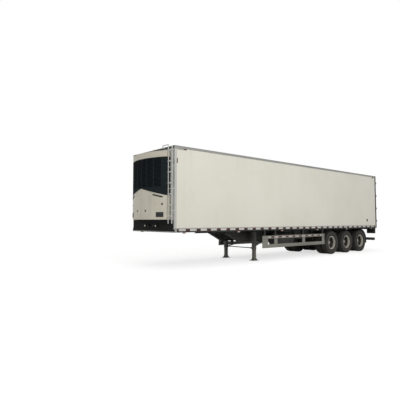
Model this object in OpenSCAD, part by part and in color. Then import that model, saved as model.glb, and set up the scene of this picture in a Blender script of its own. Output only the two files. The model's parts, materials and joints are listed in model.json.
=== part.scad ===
// Refrigerated semi-trailer: an insulated box on three twin-wheeled axles.
// +X points forward, +Y to the left, +Z up, the ground is z = 0.
// Places along the length are given as distances behind the box's front face.

/* [Load box] */
// Length of the box, front face to rear face
box_l = 13600; // [13000:50:14000]
// Width over the rails
box_w = 2600; // [2500:10:2650]
// Height of the roof above the ground
roof_z = 4000; // [3800:10:4100]
// Height of the floor panel's underside above the ground
floor_z = 1290; // [1250:5:1330]
// Thickness of the floor panel
floor_t = 110; // [90:5:140]
// Thickness of a side wall
wall_t = 60; // [45:1:80]
// Thickness of the front wall
front_wall_t = 90; // [75:5:120]
// Thickness of the roof panel
roof_t = 76; // [60:2:100]
// Distance between two ribs of the floor
rib_pitch = 68; // [60:1:80]
// Depth of the air channels between the ribs
rib_depth = 40; // [25:1:50]
// Gap between the heads of two ribs
rib_slot = 26; // [16:1:34]
// Thickness of a rib's head
rib_head_t = 6; // [4:1:10]
// Thickness of a rib's stem
rib_stem_t = 14; // [8:1:20]

/* [Rails and posts] */
// How far rails and posts stand proud of the wall skin
rail_proud = 10; // [6:1:16]
// Height of the top rail's outer web
top_rail_h = 80; // [70:5:160]
// Thickness of the top rail's lip on the roof
rail_lip_t = 4; // [3:0.5:8]
// Width of the top rail's lip on the roof
rail_lip_w = 60; // [40:5:100]
// How far the bottom rail covers the wall
bottom_rail_cover = 40; // [20:5:80]
// Width of the bottom rail's inner flange
bottom_flange_w = 100; // [80:5:140]
// Thickness of the bottom rail's inner flange
bottom_flange_t = 10; // [6:1:14]
// Length of a front corner post along the side
front_post_l = 70; // [50:5:85]
// Radius of a front corner post's outer edge
front_post_r = 34; // [10:2:40]

/* [Front panel] */
// Thickness of the lower front panel
front_panel_t = 12; // [8:1:20]
// Height of the panel's upper edge above the ground
front_panel_z = 1600; // [1500:10:1605]
// Half distance between the two air couplings
gladhand_y = 330; // [200:10:450]
// Height of the air couplings and sockets
gladhand_z = 1400; // [1330:5:1480]
// Length of an air coupling
gladhand_l = 70; // [40:5:100]
// Radius of an air coupling's head
gladhand_r = 34; // [24:1:44]
// Radius of an electric socket
socket_r = 38; // [28:1:45]
// Length of an electric socket
socket_l = 62; // [40:2:90]
// Radius of the hole in an electric socket
socket_bore_r = 24; // [16:1:26]

/* [Rear doors] */
// Depth of the rear frame
frame_d = 100; // [90:5:140]
// Width of a rear frame post
post_w = 70; // [60:5:76]
// Height of the rear frame's header
header_h = 130; // [100:5:160]
// Height of the rear frame's sill
sill_h = 106; // [90:2:120]
// Thickness of a door leaf
door_t = 75; // [60:1:80]
// Gap between a door leaf and its frame
door_gap = 6; // [6:0.5:10]
// Gap between the two door leaves
door_meet_gap = 18; // [18:1:26]
// Distance of the hinge pins behind the doors' outer face
hinge_back = 70; // [66:1:80]
// Radius of a hinge pin
hinge_pin_r = 8; // [6:0.5:10]
// Radial clearance of a hinge pin in its barrel
pin_clear = 0.3; // [0.3:0.05:0.5]
// Radius of a hinge barrel
hinge_r = 16; // [14:0.5:18]
// Height of a hinge arm
hinge_h = 56; // [40:2:80]
// Thickness of a hinge lug
hinge_lug_t = 12; // [8:1:16]
// Gap between a hinge arm and its lugs
hinge_gap = 1; // [0.5:0.5:2]
// Number of hinges on each door
hinge_n = 4; // [3:1:5]
// Distance of the first and last hinge from the leaf's ends
hinge_end = 260; // [200:10:400]
// Length of a hinge arm on the leaf
hinge_arm_l = 230; // [150:10:280]
// Thickness of a hinge arm on the leaf
hinge_arm_t = 12; // [8:1:14]
// Radius of a locking rod
rod_r = 13.5; // [10:0.5:16]
// Distance of a locking rod's axis behind the door's outer face
rod_back = 22; // [20:1:24]
// Place of the inner locking rod from the middle of the trailer
rod_inner_y = 260; // [150:10:400]
// Place of the outer locking rod from the middle of the trailer
rod_outer_y = 760; // [600:10:900]
// Height of the rod handles above the doors' lower edge
handle_z = 330; // [200:10:600]
// Length of a rod handle
handle_l = 380; // [250:10:450]

/* [Cooling unit] */
// Width of the unit
unit_w = 2060; // [1900:10:2100]
// Depth of the unit at its middle
unit_d = 450; // [420:5:500]
// Depth of the unit at its sides
unit_side_d = 170; // [120:5:220]
// Height of the unit's lower edge above the ground
unit_z = 1610; // [1610:5:1700]
// Distance of the unit's upper edge under the roof's height
unit_top_gap = 150; // [120:10:300]
// Thickness of the unit's panels
unit_panel_t = 25; // [18:1:40]
// Gap between the unit's panels
unit_seam = 5; // [3:1:8]
// Height of the upper cap
cap_h = 200; // [150:10:260]
// Height of the grille's lower edge at the middle
vee_mid_z = 2650; // [2500:10:2800]
// Height of the grille's lower edge at the sides
vee_side_z = 2400; // [2300:10:2480]
// Distance between two grille slots
slot_pitch = 42; // [36:1:60]
// Height of a grille slot
slot_h = 24; // [16:1:30]
// Width of the bars between columns of slots
slot_bar = 36; // [24:2:60]
// Number of slot columns in half of the grille
slot_cols = 3; // [2:1:5]
// Depth of the space behind the grille
grille_depth = 60; // [30:5:90]

/* [Ladder] */
// Distance of an upright's axis from the unit's side and from the box's edge
ladder_gap = 35; // [28:1:60]
// Distance of the uprights in front of the box
ladder_x = 90; // [70:5:110]
// Height of the ladder's lower end
ladder_z = 1480; // [1400:10:1600]
// Radius of the uprights
ladder_tube_r = 15; // [12:0.5:18]
// Radius of the rungs
rung_r = 11; // [9:0.5:14]
// Height of the first rung
rung_z = 1720; // [1650:10:1800]
// Distance between two rungs
rung_pitch = 355; // [300:5:380]
// Length of the grab rail on the roof
grab_l = 320; // [200:10:360]
// Height of the grab rail above the roof
grab_h = 40; // [35:1:60]

/* [Chassis] */
// Height of the crossmembers
cross_h = 90; // [70:5:100]
// Distance between two crossmembers
cross_pitch = 458; // [420:1:500]
// Place of the first crossmember
cross_first = 250; // [200:10:300]
// Width of a crossmember's flanges
cross_flange = 60; // [40:5:80]
// Thickness of a crossmember's flanges
cross_flange_t = 7; // [5:0.5:10]
// Thickness of a crossmember's web
cross_web_t = 6; // [4:0.5:8]
// Place of a main beam's web from the middle
beam_y = 490; // [480:5:500]
// Width of a main beam's flanges
beam_flange_w = 140; // [120:5:150]
// Thickness of a main beam's flanges
beam_flange_t = 14; // [10:1:20]
// Thickness of a main beam's web
beam_web_t = 8; // [6:0.5:12]
// Depth of a main beam
beam_h = 460; // [440:5:480]
// Depth of a main beam's neck
neck_h = 120; // [90:5:160]
// Place of the neck's front end
neck_start = 2300; // [2100:50:2500]
// Place where the neck begins to deepen
neck_end = 3000; // [2800:50:3200]
// Place where the full depth begins
beam_full = 3700; // [3500:50:3900]
// Distance of the beams' rear ends from the box's rear face
beam_rear = 120; // [110:5:200]

/* [Coupling] */
// Place of the kingpin
kingpin_x = 1400; // [1200:10:1600]
// Thickness of the coupler plate
coupler_t = 10; // [8:1:12]
// Half width of the coupler plate
coupler_w = 620; // [500:10:800]
// Place of the coupler plate's front edge
coupler_front = 150; // [100:10:200]
// Radius of the kingpin's neck
king_neck_r = 25.4; // [25:0.1:26]
// Radius of the kingpin's collars
king_collar_r = 35.7; // [35:0.1:37]
// Radius of the kingpin's flange
king_flange_r = 85; // [70:1:100]
// Height of the kingpin below the plate
king_h = 84; // [82:0.5:90]

/* [Landing gear] */
// Place of the legs along the trailer
leg_x = 4270; // [4100:10:4400]
// Place of the legs from the middle
leg_y = 800; // [760:5:850]
// Side of the outer tube
leg_w = 130; // [110:2:150]
// Wall of the outer tube
leg_wall = 8; // [6:0.5:10]
// Gap between the outer and the inner tube
leg_slide = 0.5; // [0.3:0.1:0.9]
// Height of the outer tube's lower end
leg_z = 430; // [380:10:480]
// Height of the outer tube's upper end
leg_top_z = 1140; // [1080:10:1150]
// Length of a foot
foot_l = 300; // [240:10:340]
// Width of a foot
foot_w = 240; // [200:10:280]
// Thickness of a foot's plate
foot_t = 14; // [10:1:20]
// Height of a foot's cheeks
foot_h = 110; // [90:5:140]
// Radius of the cross shaft
shaft_r = 16; // [12:1:20]
// Height of the cross shaft
shaft_z = 690; // [660:5:700]

/* [Running gear] */
// Distance of the first axle in front of the box's rear face
axle_rear = 4350; // [4100:10:4400]
// Distance between two axles
axle_pitch = 1340; // [1310:5:1400]
// Radius of a tyre
tyre_r = 542; // [520:1:545]
// Width of a tyre
tyre_w = 300; // [280:2:305]
// Width of a tyre's tread
tread_w = 236; // [200:2:250]
// Place of a twin wheel's middle plane from the trailer's middle
twin_y = 920; // [915:1:930]
// Distance between the two tyres of a twin wheel
twin_pitch = 346; // [335:1:360]
// Radius of the rim's bead seat
bead_r = 286; // [284:0.5:288]
// Radius of the rim's flange
rim_flange_r = 301; // [298:0.5:306]
// Width of a rim
rim_w = 230; // [215:1:240]
// Wall of a rim
rim_wall = 9; // [7:0.5:12]
// Thickness of a wheel's disc
disc_t = 13; // [10:0.5:16]
// Radius of the circle of hand holes
hand_hole_pcr = 226; // [220:1:230]
// Radius of a hand hole
hand_hole_r = 28; // [18:1:32]
// Number of hand holes
hand_hole_n = 10; // [6:1:10]
// Radius of the circle of wheel nuts
nut_pcr = 167.5; // [165:0.5:170]
// Radius of a wheel nut over its corners
nut_r = 18; // [14:0.5:20]
// Length of a wheel nut
nut_l = 26; // [16:1:34]
// Number of wheel nuts
nut_n = 10; // [8:1:12]
// Radius of the hub's nose
hub_r = 104; // [95:1:112]
// Distance of the hub's nose from the twin wheel's middle plane
hub_l = 110; // [90:2:130]
// Radius of the hub cap
hub_cap_r = 72; // [60:1:80]
// Length of the hub cap
hub_cap_l = 48; // [30:1:60]
// Outer radius of the brake drum
drum_r = 208; // [195:1:225]
// Wall of the brake drum
drum_wall = 14; // [10:1:18]
// Length of the brake drum
drum_l = 250; // [220:2:270]
// Gap between the drum and its back plate
drum_gap = 6; // [5:0.5:8]
// Gap between a tyre's beads and its rim
bead_gap = 0.3; // [0.2:0.1:0.5]
// Radius of the axle tube
axle_r = 63.5; // [57:0.5:70]
// Radius of the spindle in the hub
spindle_r = 45; // [38:0.5:50]
// Radial clearance of the spindle in the hub
spindle_clear = 0.3; // [0.3:0.05:0.5]

/* [Suspension] */
// Place of the trailing arms' middle from the trailer's middle
arm_y = 478; // [470:1:486]
// Width of a trailing arm
arm_w = 90; // [70:2:100]
// Depth of a trailing arm under the axle
arm_h = 66; // [54:1:74]
// Distance of the arm's pivot in front of the axle
pivot_x = 500; // [480:5:520]
// Height of the pivot above the ground
pivot_z = 545; // [530:5:560]
// Radius of the arm's eye
eye_r = 56; // [48:1:60]
// Radius of the pivot bolt
pivot_r = 15; // [12:0.5:18]
// Gap between a hanger's cheek and the arm's eye
cheek_gap = 0.5; // [0.3:0.1:0.9]
// Thickness of a hanger's cheek
cheek_t = 10; // [8:1:12]
// Distance of an air spring behind the axle
bag_x = 380; // [360:5:400]
// Place of the air springs from the middle
bag_y = 445; // [440:1:450]
// Radius of an air spring
bag_r = 128; // [110:1:132]
// Radius of the air spring's piston
piston_r = 92; // [80:1:100]
// Height of the air spring's piston
piston_h = 96; // [70:2:110]
// Thickness of the pad under an air spring
pad_t = 14; // [10:1:18]
// Half size of the axle seat along the trailer
seat_l = 88; // [80:1:100]
// Radius of a brake chamber
chamber_r = 82; // [70:1:90]
// Length of a brake chamber
chamber_l = 210; // [160:5:240]

/* [Side guards] */
// Place of a guard's front end
guard_front = 4260; // [4200:10:4300]
// Gap between a guard's rear end and the first tyre
guard_tyre_gap = 148; // [140:2:400]
// Distance of the guards' outer faces inboard of the box's sides
guard_in = 35; // [20:5:60]
// Thickness of a guard's rails
guard_t = 28; // [20:1:36]
// Height of the lower rail's lower edge
guard_z = 500; // [450:5:540]
// Height of the lower rail
guard_low_h = 140; // [110:5:150]
// Height of the upper rail's lower edge
guard_high_z = 860; // [820:5:880]
// Height of the upper rail
guard_high_h = 120; // [100:5:140]
// Width of a guard post
guard_post_w = 190; // [150:5:220]
// Width of the plate at a guard's front end
guard_plate_w = 330; // [190:10:360]
// Place of the second post, as a share of the guard's length
guard_share_2 = 0.19; // [0.16:0.01:0.25]
// Place of the third post, as a share of the guard's length
guard_share_3 = 0.628; // [0.5:0.002:0.7]
// Width of a guard hanger
hanger_w = 70; // [50:5:100]
// Depth of a guard hanger across the trailer
hanger_d = 46; // [36:2:56]

/* [Mudguards and rear end] */
// Gap between a tyre and its mudguard
mudguard_gap = 56; // [40:2:70]
// Thickness of a mudguard
mudguard_t = 6; // [4:0.5:10]
// Angle of the lower end of the mudguard above the axle, behind it
mudguard_low = 5; // [0:1:15]
// Angle of the upper end of the mudguard above the axle, behind it
mudguard_high = 82; // [75:1:84]
// Radius of a mudguard's carrying tube
mud_tube_r = 21; // [16:1:26]
// Height of the underrun bar's lower edge
bumper_z = 520; // [480:5:550]
// Height of the underrun bar
bumper_h = 140; // [120:5:160]
// Depth of the underrun bar
bumper_d = 80; // [60:5:90]
// Half length of the underrun bar
bumper_y = 1200; // [1150:10:1230]
// Distance of the bar's rear face from the box's rear face
bumper_in = 30; // [20:5:40]
// Thickness of the bar's carriers
carrier_t = 16; // [12:1:24]
// Height of a lamp box's lower edge
lamp_z = 885; // [870:5:930]
// Height of a lamp box
lamp_h = 220; // [130:5:240]
// Length of a lamp box across the trailer
lamp_l = 440; // [360:10:480]
// Depth of a lamp box
lamp_d = 90; // [70:5:100]
// Place of a lamp box's outer end from the middle
lamp_y = 1230; // [1180:5:1250]
// Place of the first side lamp
marker_x = 390; // [300:10:450]
// Distance of the last side lamp from the box's rear face
marker_rear = 610; // [500:10:700]
// Number of side lamps on each side
marker_n = 6; // [4:1:6]
// Length of a side lamp
marker_l = 110; // [80:5:140]
// Height of a side lamp
marker_h = 40; // [30:1:46]
// Depth of a side lamp
marker_d = 26; // [18:1:36]

/* [Tanks] */
// Front end of the fuel tank, as a share of the space between legs and tyres
fuel_from = 0.225; // [0.2:0.005:0.3]
// Rear end of the fuel tank, as a share of that space
fuel_to = 0.52; // [0.45:0.005:0.6]
// Radius of the fuel tank
fuel_r = 250; // [200:5:260]
// Place of the fuel tank's axis from the middle
fuel_y = 840; // [835:1:850]
// Height of the fuel tank's axis
fuel_z = 820; // [800:5:850]
// Width of a tank band
band_w = 50; // [36:2:70]
// Thickness of a tank band
band_t = 5; // [3:0.5:8]
// Number of the crossmember that carries the front of the air tanks
air_cross = 16; // [14:1:17]
// Radius of an air tank
air_r = 130; // [110:2:150]
// Length of an air tank
air_l = 780; // [600:10:900]
// Place of an air tank from the middle
air_y = 200; // [180:5:240]
// Height of an air tank's axis
air_z = 960; // [900:5:1000]

/* [Hidden] */

// Round faces
$fn = 96;
// Overlap of a cutting tool past the face that it cuts
cut = 1;

// The box's planes
front_x = (box_l + hinge_back + hinge_r - unit_d) / 2;
rear_x = front_x - box_l;
half_w = box_w / 2;
guard_y = half_w - guard_in;
skin_y = half_w - rail_proud;
inner_y = skin_y - wall_t;
chassis_z = floor_z - cross_h;
rail_z = chassis_z - bottom_flange_t;
roof_skin_z = roof_z - rail_lip_t;
ceiling_z = roof_skin_z - roof_t;
wall_front_x = front_x - front_post_l;
wall_rear_x = rear_x + frame_d;
rail_top_z = floor_z + bottom_rail_cover;
rail_low_z = roof_z - top_rail_h;
rib_n = floor(2 * inner_y / rib_pitch) - 1;

// The rear doors and their hinges
sill_z = rail_z + sill_h;
header_z = roof_z - header_h;
door_z = sill_z + door_gap;
door_top_z = header_z - door_gap;
door_y = half_w - post_w - door_gap;
hinge_y = half_w - hinge_r;
hinge_x = rear_x - hinge_back;
hinge_step = (door_top_z - door_z - 2 * hinge_end) / (hinge_n - 1);
rods = [rod_inner_y, rod_outer_y];

// The cooling unit's bowed front
unit_top_z = roof_z - unit_top_gap;
unit_sag = unit_d - unit_side_d;
unit_r = (pow(unit_w / 2, 2) + pow(unit_sag, 2)) / (2 * unit_sag);
cap_z = unit_top_z - cap_h;
slot_half = unit_w / 2 - unit_panel_t - grille_depth - slot_bar;
slot_w = (slot_half - slot_bar / 2) / slot_cols - slot_bar;
slot_n = floor((cap_z - vee_mid_z) / slot_pitch) - 1;

// The chassis
cross_n = floor((box_l - frame_d - cross_first - cross_flange) / cross_pitch) + 1;
beam_z = chassis_z - beam_h;
beam_out_y = beam_y + beam_flange_w / 2;
inner_leg_w = leg_w - 2 * leg_wall - 2 * leg_slide;

// The running gear
axle_x = box_l - axle_rear;
axle_z = tyre_r;
arm_top_z = axle_z - axle_r - 2;
drum_in_y = twin_y - drum_l;
plate_y = drum_in_y - drum_gap;
sides = [1, -1];
axles_at = [for (i = [0 : 2]) axle_x + i * axle_pitch];

// The side guards, with each post's place and width
guard_rear = axle_x - tyre_r - guard_tyre_gap;
guard_l = guard_rear - guard_front;
guard_posts = [
    [guard_front + guard_plate_w / 2, guard_plate_w],
    [guard_front + guard_share_2 * guard_l, guard_post_w],
    [guard_front + guard_share_3 * guard_l, guard_post_w],
    [guard_rear - guard_post_w / 2, guard_post_w]
];

// The side lamps and the fuel tank
marker_pitch = (box_l - marker_x - marker_rear) / (marker_n - 1);
fuel_space = axle_x - tyre_r - leg_x;
fuel_x = leg_x + fuel_from * fuel_space;
fuel_l = (fuel_to - fuel_from) * fuel_space;

// X of a place that lies d behind the box's front face
function at(d) = front_x - d;
// Place of the crossmember with number i
function cross_at(i) = cross_first + i * cross_pitch;

// A block between two planes in each direction
module block(x0, x1, y0, y1, z0, z1) {
    translate([x0, y0, z0]) cube([x1 - x0, y1 - y0, z1 - z0]);
}

// What is drawn on the left, on both sides
module both_sides() {
    children();
    mirror([0, 1, 0]) children();
}

// What is drawn on the left, on the side s
module on_side(s) {
    if (s > 0) children();
    else mirror([0, 1, 0]) children();
}

// A profile in Y and Z, drawn out along X from x0 to x1
module along_x(x0, x1) {
    translate([x0, 0, 0]) rotate([90, 0, 90]) linear_extrude(x1 - x0) children();
}

// A profile in X and Z, drawn out along Y from y0 to y1
module along_y(y0, y1) {
    translate([0, y1, 0]) rotate([90, 0, 0]) linear_extrude(y1 - y0) children();
}

// A round bar along Y
module bar_y(x, z, r, y0, y1) {
    translate([x, y0, z]) rotate([-90, 0, 0]) cylinder(r = r, h = y1 - y0);
}

// A round bar along X
module bar_x(y, z, r, x0, x1) {
    translate([x0, y, z]) rotate([0, 90, 0]) cylinder(r = r, h = x1 - x0);
}

// Insulated floor with the air channels between its T-shaped ribs
module floor() {
    top = floor_z + floor_t;
    under_w = rib_pitch - rib_stem_t;
    color("silver") along_x(wall_rear_x, front_x - front_wall_t) difference() {
        translate([-inner_y, floor_z]) square([2 * inner_y, floor_t]);
        for (i = [0 : rib_n - 1]) translate([(i - (rib_n - 1) / 2) * rib_pitch, top - rib_depth]) {
            translate([-rib_slot / 2, 0]) square([rib_slot, rib_depth + cut]);
            translate([-under_w / 2, 0]) square([under_w, rib_depth - rib_head_t]);
        }
    }
}

module wall(s) {
    color("ivory") on_side(s) block(wall_rear_x, wall_front_x, inner_y, skin_y, floor_z, ceiling_z);
}

module wall_front() {
    color("ivory") block(front_x - front_wall_t, front_x, -inner_y, inner_y, floor_z, ceiling_z);
}

module roof() {
    color("ivory") block(wall_rear_x, front_x, -skin_y, skin_y, ceiling_z, roof_skin_z);
}

// Edge rails of the roof, along both sides and across the front, with open joints between them
module top_rails() {
    joint = 0.5;
    lip_y = half_w - rail_lip_w - joint;
    color("darkgray") {
        both_sides() along_x(wall_rear_x, front_x - joint) {
            translate([skin_y, rail_low_z]) square([rail_proud, top_rail_h]);
            translate([half_w - rail_lip_w, roof_skin_z]) square([rail_lip_w, rail_lip_t]);
        }
        block(front_x, front_x + rail_proud, -half_w, half_w, rail_low_z, roof_z);
        block(front_x - rail_lip_w, front_x, -lip_y, lip_y, roof_skin_z, roof_z);
    }
}

// Bottom rails: a web on the wall's foot and a flange under the crossmembers
module bottom_rails() {
    color("darkgray") both_sides() along_x(wall_rear_x, front_x) {
        translate([skin_y, rail_z]) square([rail_proud, rail_top_z - rail_z]);
        translate([half_w - bottom_flange_w, rail_z]) square([bottom_flange_w, bottom_flange_t]);
    }
}

// Front corner posts with a round outer edge, set back behind the rails
module front_posts() {
    r = min(front_post_r, front_post_l / 2, (half_w - inner_y) / 2);
    round_x = front_x - r;
    round_y = half_w - r;
    color("silver") both_sides() difference() {
        union() {
            block(wall_front_x, round_x, inner_y, half_w, floor_z, ceiling_z);
            block(wall_front_x, front_x, inner_y, round_y, floor_z, ceiling_z);
            translate([round_x, round_y, floor_z]) cylinder(r = r, h = ceiling_z - floor_z);
        }
        block(wall_front_x - cut, front_x + cut, skin_y, half_w + cut, floor_z - cut, rail_top_z);
        block(wall_front_x - cut, front_x + cut, skin_y, half_w + cut, rail_low_z, ceiling_z + cut);
    }
}

// Lower front panel and front sill, with the air couplings and the electric sockets
module front_panel() {
    face_x = front_x + front_panel_t;
    color("dimgray") difference() {
        union() {
            block(front_x, face_x, -inner_y, inner_y, rail_z, front_panel_z);
            block(front_x - front_wall_t, front_x, -skin_y, skin_y, chassis_z, floor_z);
            both_sides() {
                bar_x(gladhand_y, gladhand_z, gladhand_r / 2, front_x, face_x + gladhand_l);
                bar_x(gladhand_y, gladhand_z, gladhand_r, face_x + gladhand_l / 2, face_x + gladhand_l);
                bar_x(gladhand_y / 2, gladhand_z, socket_r, front_x, face_x + socket_l);
            }
        }
        both_sides() bar_x(gladhand_y / 2, gladhand_z, socket_bore_r, face_x, face_x + socket_l + cut);
    }
}

// Rear portal with the keepers of the locking rods
module rear_frame() {
    keeper_in = rod_r + 9;
    keeper_w = 12;
    keeper_h = 50;
    keeper_d = rod_back + 8;
    color("gainsboro") {
        difference() {
            block(rear_x, wall_rear_x, -half_w, half_w, rail_z, roof_z);
            block(rear_x - cut, wall_rear_x + cut, post_w - half_w, half_w - post_w, sill_z, header_z);
        }
        both_sides() for (y = rods, side = sides, z = [sill_z - keeper_h, header_z])
            translate([rear_x - keeper_d, y + side * (keeper_in + keeper_w / 2) - keeper_w / 2, z])
                cube([keeper_d + cut, keeper_w, keeper_h]);
    }
}

// Height of the middle of hinge i
function hinge_z(i) = door_z + hinge_end + i * hinge_step;

// Fixed halves of the door hinges: a plate on the post, two lugs and the pin
module hinge_brackets() {
    plate_t = 8;
    half = hinge_h / 2 + hinge_gap + hinge_lug_t;
    color("dimgray") both_sides() for (i = [0 : hinge_n - 1]) translate([0, 0, hinge_z(i)]) {
        block(rear_x - plate_t, rear_x, hinge_y - 2.5 * hinge_r, half_w, -half, half);
        for (z = [-half, half - hinge_lug_t]) {
            block(hinge_x, rear_x, hinge_y - hinge_r, half_w, z, z + hinge_lug_t);
            translate([hinge_x, hinge_y, z]) cylinder(r = hinge_r, h = hinge_lug_t);
        }
        translate([hinge_x, hinge_y, -half]) cylinder(r = hinge_pin_r, h = 2 * half);
    }
}

module door(s) {
    color("ivory") on_side(s)
        block(rear_x, rear_x + door_t, door_meet_gap / 2, door_y, door_z, door_top_z);
}

// Outline of a hinge arm from its barrel to the door leaf
module hinge_arm_outline() {
    reach = hinge_y - door_y;
    heel = 4;
    bend = 30;
    flare = 8;
    polygon([
        [hinge_r * 0.6, hinge_r * 0.75],
        [hinge_back - flare, -reach - heel],
        [hinge_back, -reach - heel],
        [hinge_back, -reach - hinge_arm_l],
        [hinge_back - hinge_arm_t, -reach - hinge_arm_l],
        [hinge_back - hinge_arm_t, -reach - bend],
        [-hinge_r * 0.6, -hinge_r * 0.75]
    ]);
}

// Moving halves of the hinges, and the locking rods with guides and handles
module door_gear(s) {
    guide_n = 4;
    guide_w = 76;
    guide_h = 54;
    guide_d = rod_back + rod_r + 5;
    rod_over = 44;
    handle_w = 32;
    handle_t = 12;
    rod_x = rear_x - rod_back;
    handle_x = rod_x - rod_r - 3;
    rod_l = door_top_z - door_z + 2 * rod_over;
    guide_step = (door_top_z - door_z - 2 * guide_h) / (guide_n - 1);
    color("gray") on_side(s) {
        for (i = [0 : hinge_n - 1]) translate([hinge_x, hinge_y, hinge_z(i) - hinge_h / 2]) difference() {
            union() {
                linear_extrude(hinge_h) hinge_arm_outline();
                cylinder(r = hinge_r, h = hinge_h);
            }
            translate([0, 0, -cut]) cylinder(r = hinge_pin_r + pin_clear, h = hinge_h + 2 * cut);
        }
        for (y = rods) {
            translate([rod_x, y, door_z - rod_over]) cylinder(r = rod_r, h = rod_l);
            for (i = [0 : guide_n - 1]) translate([0, 0, door_z + guide_h / 2 + i * guide_step])
                block(rear_x - guide_d, rear_x, y - guide_w / 2, y + guide_w / 2, 0, guide_h);
            translate([0, 0, door_z + handle_z])
                block(handle_x, handle_x + handle_t, y - handle_w / 2, y + handle_l, 0, handle_w);
        }
    }
}

// Outer form of the cooling unit, bowed in plan, brought in by inset
module unit_form(inset, z0, z1) {
    intersection() {
        translate([front_x + unit_d - unit_r, 0, z0]) cylinder(r = unit_r - inset, h = z1 - z0, $fn = 180);
        block(front_x, front_x + unit_d, inset - unit_w / 2, unit_w / 2 - inset, z0, z1);
    }
}

// Skin of the unit between two heights, from depth inset_0 to depth inset_1
module unit_skin(inset_0, inset_1, z0, z1) {
    difference() {
        unit_form(inset_0, z0, z1);
        unit_form(inset_1, z0 - cut, z1 + cut);
    }
}

// Height of the grille's lower edge at the place y
function vee(y) = vee_mid_z - (vee_mid_z - vee_side_z) * abs(y) / (unit_w / 2);

// Inner block of the unit, with the space behind the grille
module unit_body() {
    color("dimgray") difference() {
        unit_form(unit_panel_t, unit_z, unit_top_z - unit_panel_t);
        intersection() {
            unit_skin(unit_panel_t - cut, unit_panel_t + grille_depth, vee_mid_z, cap_z - slot_bar);
            block(front_x, front_x + unit_d, -slot_half, slot_half, vee_mid_z, cap_z);
        }
    }
}

// Black upper panel with rows of air slots over its inverted V edge
module unit_grille() {
    wide = unit_w / 2 + cut;
    top = cap_z - unit_seam;
    color("black") difference() {
        intersection() {
            unit_skin(0, unit_panel_t, vee_side_z - cut, top);
            along_x(front_x - cut, front_x + unit_d + cut)
                polygon([
                    [-wide, vee(wide)], [0, vee_mid_z], [wide, vee(wide)],
                    [wide, top + cut], [-wide, top + cut]
                ]);
        }
        both_sides() for (row = [1 : slot_n], col = [0 : slot_cols - 1])
            translate([front_x + grille_depth, slot_bar / 2, vee_mid_z] + [0, col * (slot_w + slot_bar), row * slot_pitch])
                cube([unit_d, slot_w, slot_h]);
    }
}

// White upper cap of the unit
module unit_cap() {
    color("white") {
        unit_skin(0, unit_panel_t, cap_z, unit_top_z - unit_panel_t);
        unit_form(0, unit_top_z - unit_panel_t, unit_top_z);
    }
}

// White lower doors of the unit, meeting at the middle
module unit_doors() {
    wide = unit_w / 2 + cut;
    mid = unit_seam / 2;
    low = unit_z - cut;
    color("white") both_sides() intersection() {
        unit_skin(0, unit_panel_t, unit_z, vee_mid_z);
        along_x(front_x - cut, front_x + unit_d + cut)
            polygon([[mid, low], [wide, low], [wide, vee(wide) - unit_seam], [mid, vee(mid) - unit_seam]]);
    }
}

// Pull handles under the grille's edge, air vents and latches on the doors
module unit_fittings() {
    proud = 6;
    grip_y = [0.563, 0.913] * unit_w / 2;
    grip_drop = 62;
    grip_h = 42;
    door_h = vee_side_z - unit_z;
    // Columns: from y, to y as shares of half the width, from z, to z as shares of the doors' height
    plates = [[0.69, 0.937, 0.101, 0.304], [0.216, 0.26, 0.329, 0.405], [0.874, 0.918, 0.595, 0.671]];
    color("black") both_sides() intersection() {
        unit_skin(-proud, 0, unit_z, vee_mid_z);
        along_x(front_x + unit_side_d, front_x + unit_d) {
            polygon([
                [grip_y[0], vee(grip_y[0]) - grip_drop],
                [grip_y[1], vee(grip_y[1]) - grip_drop],
                [grip_y[1], vee(grip_y[1]) - grip_drop - grip_h],
                [grip_y[0], vee(grip_y[0]) - grip_drop - grip_h]
            ]);
            for (p = plates) translate([p[0] * unit_w / 2, unit_z + p[2] * door_h])
                square([(p[1] - p[0]) * unit_w / 2, (p[3] - p[2]) * door_h]);
        }
    }
}

// Ladder at the front left corner, with a grab rail over the roof's edge
module ladder() {
    x = front_x + ladder_x;
    y_in = unit_w / 2 + ladder_gap;
    y_out = half_w - ladder_gap;
    y_end = y_in - grab_l;
    grab_z = roof_z + grab_h;
    top_z = roof_z - 30;
    foot_z = rail_low_z + top_rail_h / 2;
    rung_n = floor((top_z - rung_z) / rung_pitch) + 1;
    stays = [0.5, (rung_n - 2) / 2, rung_n - 2.5];
    elbow_r = ladder_tube_r + 0.5;
    color("gainsboro") {
        translate([x, y_out, ladder_z]) cylinder(r = ladder_tube_r, h = top_z - ladder_z);
        translate([x, y_in, ladder_z]) cylinder(r = ladder_tube_r, h = grab_z - ladder_z);
        bar_y(x, grab_z, ladder_tube_r, y_end, y_in);
        translate([x, y_end, foot_z]) cylinder(r = ladder_tube_r, h = grab_z - foot_z);
        for (y = [y_in, y_end]) translate([x, y, grab_z]) sphere(r = elbow_r);
        bar_x(y_end, foot_z, rung_r, front_x + rail_proud, x);
        for (i = [0 : rung_n - 1]) bar_y(x, rung_z + i * rung_pitch, rung_r, y_in, y_out);
        for (y = [y_in, y_out], i = stays) bar_x(y, rung_z + i * rung_pitch, rung_r, front_x, x);
    }
}

// Main beam with a shallow neck over the coupling
module main_beam(s) {
    rear = rear_x + beam_rear;
    neck_z = chassis_z - neck_h;
    web = beam_web_t / 2;
    t = beam_flange_t;
    color("dimgray") on_side(s) difference() {
        along_y(beam_y - beam_flange_w / 2, beam_out_y) polygon([
            [at(neck_start), chassis_z], [at(neck_start), neck_z], [at(neck_end), neck_z],
            [at(beam_full), beam_z], [rear, beam_z], [rear, chassis_z]
        ]);
        for (y = [[beam_y + web, beam_out_y + cut], [beam_y - beam_flange_w / 2 - cut, beam_y - web]])
            along_y(y[0], y[1]) polygon([
                [at(neck_start) + cut, chassis_z - t], [at(neck_start) + cut, neck_z + t],
                [at(neck_end), neck_z + t],
                [at(beam_full), beam_z + t], [rear - cut, beam_z + t], [rear - cut, chassis_z - t]
            ]);
    }
}

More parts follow.
